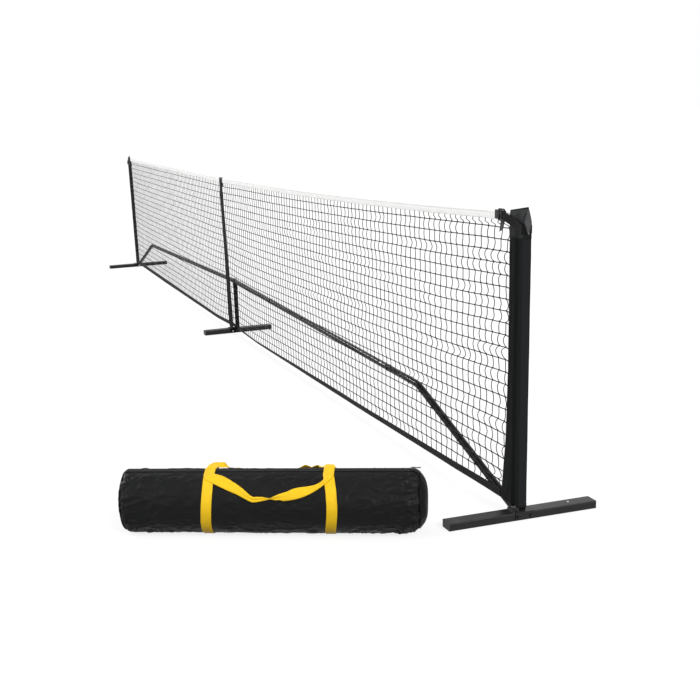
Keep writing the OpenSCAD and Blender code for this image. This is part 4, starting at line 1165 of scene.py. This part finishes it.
def make_front_handle():
    """The handle on the camera's side. It lies on the bag, and folds in on itself near its middle."""
    count, columns = 110, 11
    upper, _ = even_edge(FRONT_UPPER, count)
    lower, length = even_edge(FRONT_LOWER, count)
    shares = [j / (columns - 1) for j in range(columns)]
    points, spread = [], []
    for i, ((su, au), (sl, al)) in enumerate(zip(upper, lower)):
        fold = 1 - share(math.hypot(su - sl, math.radians(au - al) * BAG_RADIUS), 0.0145, 0.0305)
        middle = 0.5 * (su + sl) - 0.010
        twist = hump(middle, 0.014)
        loose = math.sin(math.pi * i / (count - 1)) ** 0.5
        ring_top, ring_low = [], []
        for t in shares:
            s, a = su + (sl - su) * t, au + (al - au) * t
            edge = 1 - (2 * t - 1) ** 8
            lift = fold * (0.0016 + 0.0018 * hump(t - 0.30, 0.16))
            groove = 0.0016 * fold * hump(t - 0.60, 0.10)
            roll = 0.0014 * twist * math.sin(math.pi * (t + middle * 30))
            base = 0.0994 + max(0.0, (0.0006 + 0.0009 * wave(s * 22.0, t * 1.2, 2.0)) * loose)
            top = base + 0.0016 * (0.35 + 0.65 * edge) + (lift + roll) * edge - groove
            ring_top.append(round_bag(s, a, max(top, base + 0.0007)))
            ring_low.append(round_bag(s, a, base))
        points += ring_top + ring_low[::-1]
        along = length * i / (count - 1)
        across = [0.031 * (t - 0.5) for t in shares]
        spread += [(v, along) for v in across] + [(0.2 + v, along) for v in across[::-1]]
    faces = tube_faces(count, 2 * columns, capped=True)
    handle = mend(new_piece("bag_handle_webbing_front", points, faces, "yellow_webbing", spread))
    round_bag(0.0, 68.5, 0.1)
    round_bag(0.0, 60.5, 0.1)
    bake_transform(handle)
    wear(handle, "yellow_webbing", "bag_handle_front", None, flat=(0.031, 0.34), held="laid",
         rests_on=["bag_cloth"])


# The back handle's middle line: along the bag, depth, and the height at which the camera sees it. Then comes
# the direction of its width, as parts along, deep and up.
BACK_HANDLE = (
    (-0.1740, 0.0080, 0.0981, 1.0, 0.0, 0.0), (-0.1738, 0.0160, 0.1007, 1.0, 0.0, 0.0),
    (-0.1720, 0.0240, 0.1045, 0.93, -0.36, -0.05), (-0.1670, 0.0310, 0.1075, 0.72, -0.68, -0.12),
    (-0.1600, 0.0350, 0.1082, 0.42, -0.87, -0.22), (-0.1510, 0.0365, 0.1062, 0.15, -0.93, -0.34),
    (-0.1420, 0.0380, 0.1052, 0.0, -0.93, -0.36), (-0.1330, 0.0430, 0.1018, 0.0, -0.97, -0.10),
    (-0.1240, 0.0510, 0.0975, 0.0, -0.90, 0.40), (-0.1120, 0.0620, 0.0931, 0.0, -0.78, 0.62),
    (-0.0900, 0.0720, 0.0888, 0.0, -0.74, 0.67), (-0.0300, 0.0870, 0.0780, 0.0, -0.62, 0.78),
    (0.0100, 0.0900, 0.0741, 0.0, -0.58, 0.82), (0.0500, 0.0865, 0.0793, 0.0, -0.62, 0.78),
    (0.0700, 0.0800, 0.0850, 0.0, -0.72, 0.70), (0.0850, 0.0700, 0.0890, 0.0, -0.72, 0.70),
    (0.0980, 0.0640, 0.0950, 0.0, -0.72, 0.70), (0.1075, 0.0600, 0.0985, 0.0, -0.72, 0.70),
    (0.1170, 0.0570, 0.0955, 0.0, -0.72, 0.70), (0.1270, 0.0540, 0.0915, 0.0, -0.72, 0.70),
    (0.1360, 0.0500, 0.0960, 0.0, -0.72, 0.70), (0.1490, 0.0445, 0.1000, 0.0, -0.76, 0.65),
    (0.1555, 0.0415, 0.1000, -0.05, -0.95, 0.25), (0.1610, 0.0385, 0.1010, -0.20, -0.97, -0.08),
    (0.1677, 0.0350, 0.1015, -0.42, -0.89, -0.17), (0.1747, 0.0310, 0.1030, -0.72, -0.68, -0.12),
    (0.1797, 0.0240, 0.1040, -0.93, -0.36, -0.05), (0.1815, 0.0160, 0.1007, -1.0, 0.0, 0.0),
    (0.1817, 0.0080, 0.0981, -1.0, 0.0, 0.0))


def off_bag(p):
    """The move that brings a point which lies too deep up to the bag's cloth."""
    q = Vector(p) - BAG_MIDDLE
    depth, rise, clear = q.dot(BAG_DEPTH), q.z, 0.0993
    k = max(0.0, clear / math.hypot(depth, rise) - 1)
    return BAG_DEPTH * (depth * k) + UP * (rise * k)


def make_back_handle():
    """The handle on the far side. Its two ends stand up in loose curls before it drops behind the bag."""
    path = smooth_line([(s, depth, (seen - SLANT[0] * depth) / SLANT[1]) for s, depth, seen, *_ in BACK_HANDLE], 7)
    across = [BAG_ALONG * a + BAG_DEPTH * b + UP * c
              for a, b, c in smooth_line([row[3:] for row in BACK_HANDLE], 7)]
    order = np.arange(len(path))
    wide = 0.0305 - 0.004 * np.exp(-((path[:, 0] - 0.01) / 0.03) ** 2)
    thick = np.minimum(0.0017, 0.0014 + 0.0003 * np.minimum(order, order[::-1]) / 12.0)
    handle = strap("bag_handle_webbing_back", [on_bag(*p) for p in path], across, wide, thick, "yellow_webbing",
                   sides=9)
    swell(handle, off_bag)
    on_bag(0.0, 0.0370, 0.1000)
    on_bag(0.0, 0.0570, 0.0830)
    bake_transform(handle)
    wear(handle, "yellow_webbing", "bag_handle_back", None, flat=(0.031, 0.44), held="laid",
         rests_on=["bag_cloth"])


def zip_top(s):
    """How high the zip lies over the bag's axis."""
    return min(BAG_RADIUS, bag_profile(s, 90.0) + 0.0008)


def zip_lines(reach, count, aside, rise):
    """The two lines beside the zip's middle, over the bag's top."""
    return [[on_bag(s, side * aside, zip_top(s) + rise) for s in np.linspace(-reach, reach, count)]
            for side in (-1, 1)]


def make_zip():
    """The zip along the bag's top: its tape, the coil and the stitch line on each side."""
    arch = 0.00117
    middle = [on_bag(s, 0.0, zip_top(s) + 0.00105 - arch + 0.0001 * wave(s * 12.0, 0.0, 0.0))
              for s in np.linspace(-0.4445, 0.4445, 240)]
    wear(strap("zip_webbing", middle, BAG_DEPTH, 0.0300, 0.0011, "zip_fabric", sides=9, crown=arch), "zip_fabric",
         "zip_tape", "bag", flat=(0.030, 0.889), held="stretched", rests_on=["bag_cloth"])
    wear(COILS.grow(lines_of(zip_lines(0.430, 300, 0.00125, 0.00195)), "zip_coil", "zip_fabric", Pitch=0.0021,
                    Thick=0.00125, Long=0.0029, Across=tuple(BAG_DEPTH)), "zip_fabric", "zip_tape", "bag")
    wear(sew("zip_stitches", zip_lines(0.440, 240, 0.0128, 0.00065), 0.0040, 0.0030, 0.0006), "zip_fabric",
         body="bag")


# ---------- the whole set ----------

def set_stage():
    """Daylight from above, a broad key lamp, and a pale floor that keeps the shadow."""
    world = bpy.data.worlds.new("studio")
    world.use_nodes = True
    room = Bench(world.node_tree)
    room.tree.nodes.clear()
    dim, bright = (room.make("ShaderNodeBackground", None, {"Color": grey(1.0), "Strength": power})
                   for power in (0.50, 1.0))
    mixed = room.make("ShaderNodeMixShader", None, {0: room.seen_rays(), 1: dim, 2: bright})
    room.make("ShaderNodeOutputWorld", None, {"Surface": mixed})
    bpy.context.scene.world = world
    set_sun("key", (0.78, 0.22, 0.58), 2.6, 30)
    set_sun("fill", (-0.15, -0.85, 0.50), 2.0, 60)
    set_sun("rim", (-0.86, -0.34, 0.38), 0.9, 12)

    f = Finish("floor")
    speck = f.noise(f.place(), 3.0, 2.0, 0.5)
    matt = f.make("ShaderNodeBsdfDiffuse", None, {"Color": f.mix(speck, grey(0.20), grey(0.205))})
    glow = f.make("ShaderNodeEmission", None, {"Color": grey(1.0), "Strength": 0.80})
    lit = f.make("ShaderNodeAddShader", None, {0: matt, 1: glow})
    both = f.make("ShaderNodeMixShader", None, {0: f.seen_rays(), 1: matt, 2: lit})
    f.make("ShaderNodeOutputMaterial", None, {"Surface": both})
    size = 60.0
    points = [(x * size, y * size, -0.0004) for x, y in ((-1, -1), (1, -1), (1, 1), (-1, 1))]
    new_piece("floor", points, [(0, 1, 2, 3)], "floor", smooth=False)


def make_finishes():
    """Every material of the set."""
    painted_steel("black_tube", 0.0022, 900.0, 0.20, 0.10)
    painted_steel("foot_steel", 0.0080, 900.0, 0.34, 0.26)
    moulded_plastic("cap_plastic", 0.0075, 0.42, 700.0, 0.22)
    moulded_plastic("adjuster_plastic", 0.0050, 0.34, 900.0, 0.22)
    bare_steel("black_bolt", 0.030, 0.34, 0.10)
    bare_steel("zinc_steel", 0.62, 0.30, 0.10)
    bare_steel("spring_steel", 0.45, 0.34, 0.10)
    bare_steel("button_steel", 0.80, 0.16)
    bare_steel("zip_metal", 0.16, 0.30, 0.06)
    # The sleeve's outer face is painted 3.2 times lighter, as painted light.
    coated_cloth("sleeve_fabric", (0.0050, 0.0054, 0.0057), 0.0011, 0.60, 0.03, outer_face_painted_light=3.2)
    coated_cloth("hood_fabric", (0.0074, 0.0080, 0.0086), 0.0011, 0.56, 0.08)
    # Painted light: the hood's end gusset, lit by the key lamp, is given a lighter colour than the hood.
    coated_cloth("gusset_fabric", (0.046, 0.047, 0.049), 0.0013, 0.50, 0.25)
    coated_cloth("bag_fabric", (0.0056, 0.0058, 0.0059), 0.0012, 0.46, 0.095, 2.2)
    coated_cloth("bag_end_fabric", (0.0040, 0.0042, 0.0044), 0.0012, 0.50, 0.07, 2.0)
    coated_cloth("zip_fabric", (0.0066, 0.0068, 0.0070), 0.0009, 0.50, 0.10)
    webbing("black_webbing", (0.0064, 0.0066, 0.0070), 0.0021, 0.62, 0.0, 0.06)
    webbing("grey_webbing", (0.032, 0.033, 0.035), 0.0019, 0.60, 0.03, 0.10)
    webbing("cap_webbing", (0.060, 0.061, 0.064), 0.0021, 0.62, 0.02, 0.10)
    webbing("band_webbing", (0.0058, 0.0058, 0.0062), 0.0023, 0.62, 0.0, 0.06)
    webbing("white_tape", (0.88, 0.88, 0.87), 0.0016, 0.56, 0.0, 0.45, 0.03)
    webbing("yellow_webbing", (0.76, 0.475, 0.0115), 0.0020, 0.56, 0.03, 0.14, 0.14)
    thread("black_thread", (0.020, 0.020, 0.022))
    thread("white_thread", (0.80, 0.80, 0.79))
    thread("grey_thread", (0.30, 0.30, 0.30))
    thread("yellow_thread", (0.66, 0.42, 0.018))
    net_cord()


def dress(finish, names, sided=()):
    """Gives carried-over nodes their finish. Names under sided stand for a right and a left node."""
    for name in names + [name + side for name in sided for side in ("_right", "_left")]:
        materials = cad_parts[name].data.materials
        materials.clear()
        materials.append(FINISHES[finish])


def main():
    set_camera()
    set_stage()
    make_finishes()

    for side, name in ((1, "netting_right"), (-1, "netting_left")):
        make_netting(side, name)
    make_tape()
    make_bottom_band()
    make_sleeve()
    make_hood()
    make_tension_straps()
    make_centre_strap()
    around = 150
    make_bag_body(around)
    make_bag_end(around, -1, "near", 0.4405, 0.4560)
    make_bag_end(around, 1, "far", 0.4462, 0.4700)
    rows = [row for name, place in BANDS.items() for row in make_band(name, place)]
    sewn = sew("band_and_handle_stitches", rows, 0.0038, 0.0029, 0.0008, "yellow_thread")
    wear(sewn, "yellow_webbing", body="bag")
    make_front_handle()
    make_back_handle()
    make_zip()

    dress("black_tube", ["centre_leg", "bar_tee"],
          ("bar_inner", "bar_middle", "bar_outer", "bar_link", "brace", "post"))
    dress("foot_steel", ["foot_centre", "saddle_centre"], ("foot", "saddle"))
    dress("cap_plastic", ["foot_caps", "foot_toes", "post_plugs"])
    dress("adjuster_plastic", [], ("adjuster",))
    dress("black_bolt", ["frame_bolts"])
    dress("spring_steel", ["button_clips"])
    dress("button_steel", [], ("button_inner", "button_middle", "button_outer", "button_link", "button_foot"))
    dress("zip_metal", ["zip_slider", "zip_tab"])

    bpy.context.scene.view_settings.view_transform = "Standard"


main()
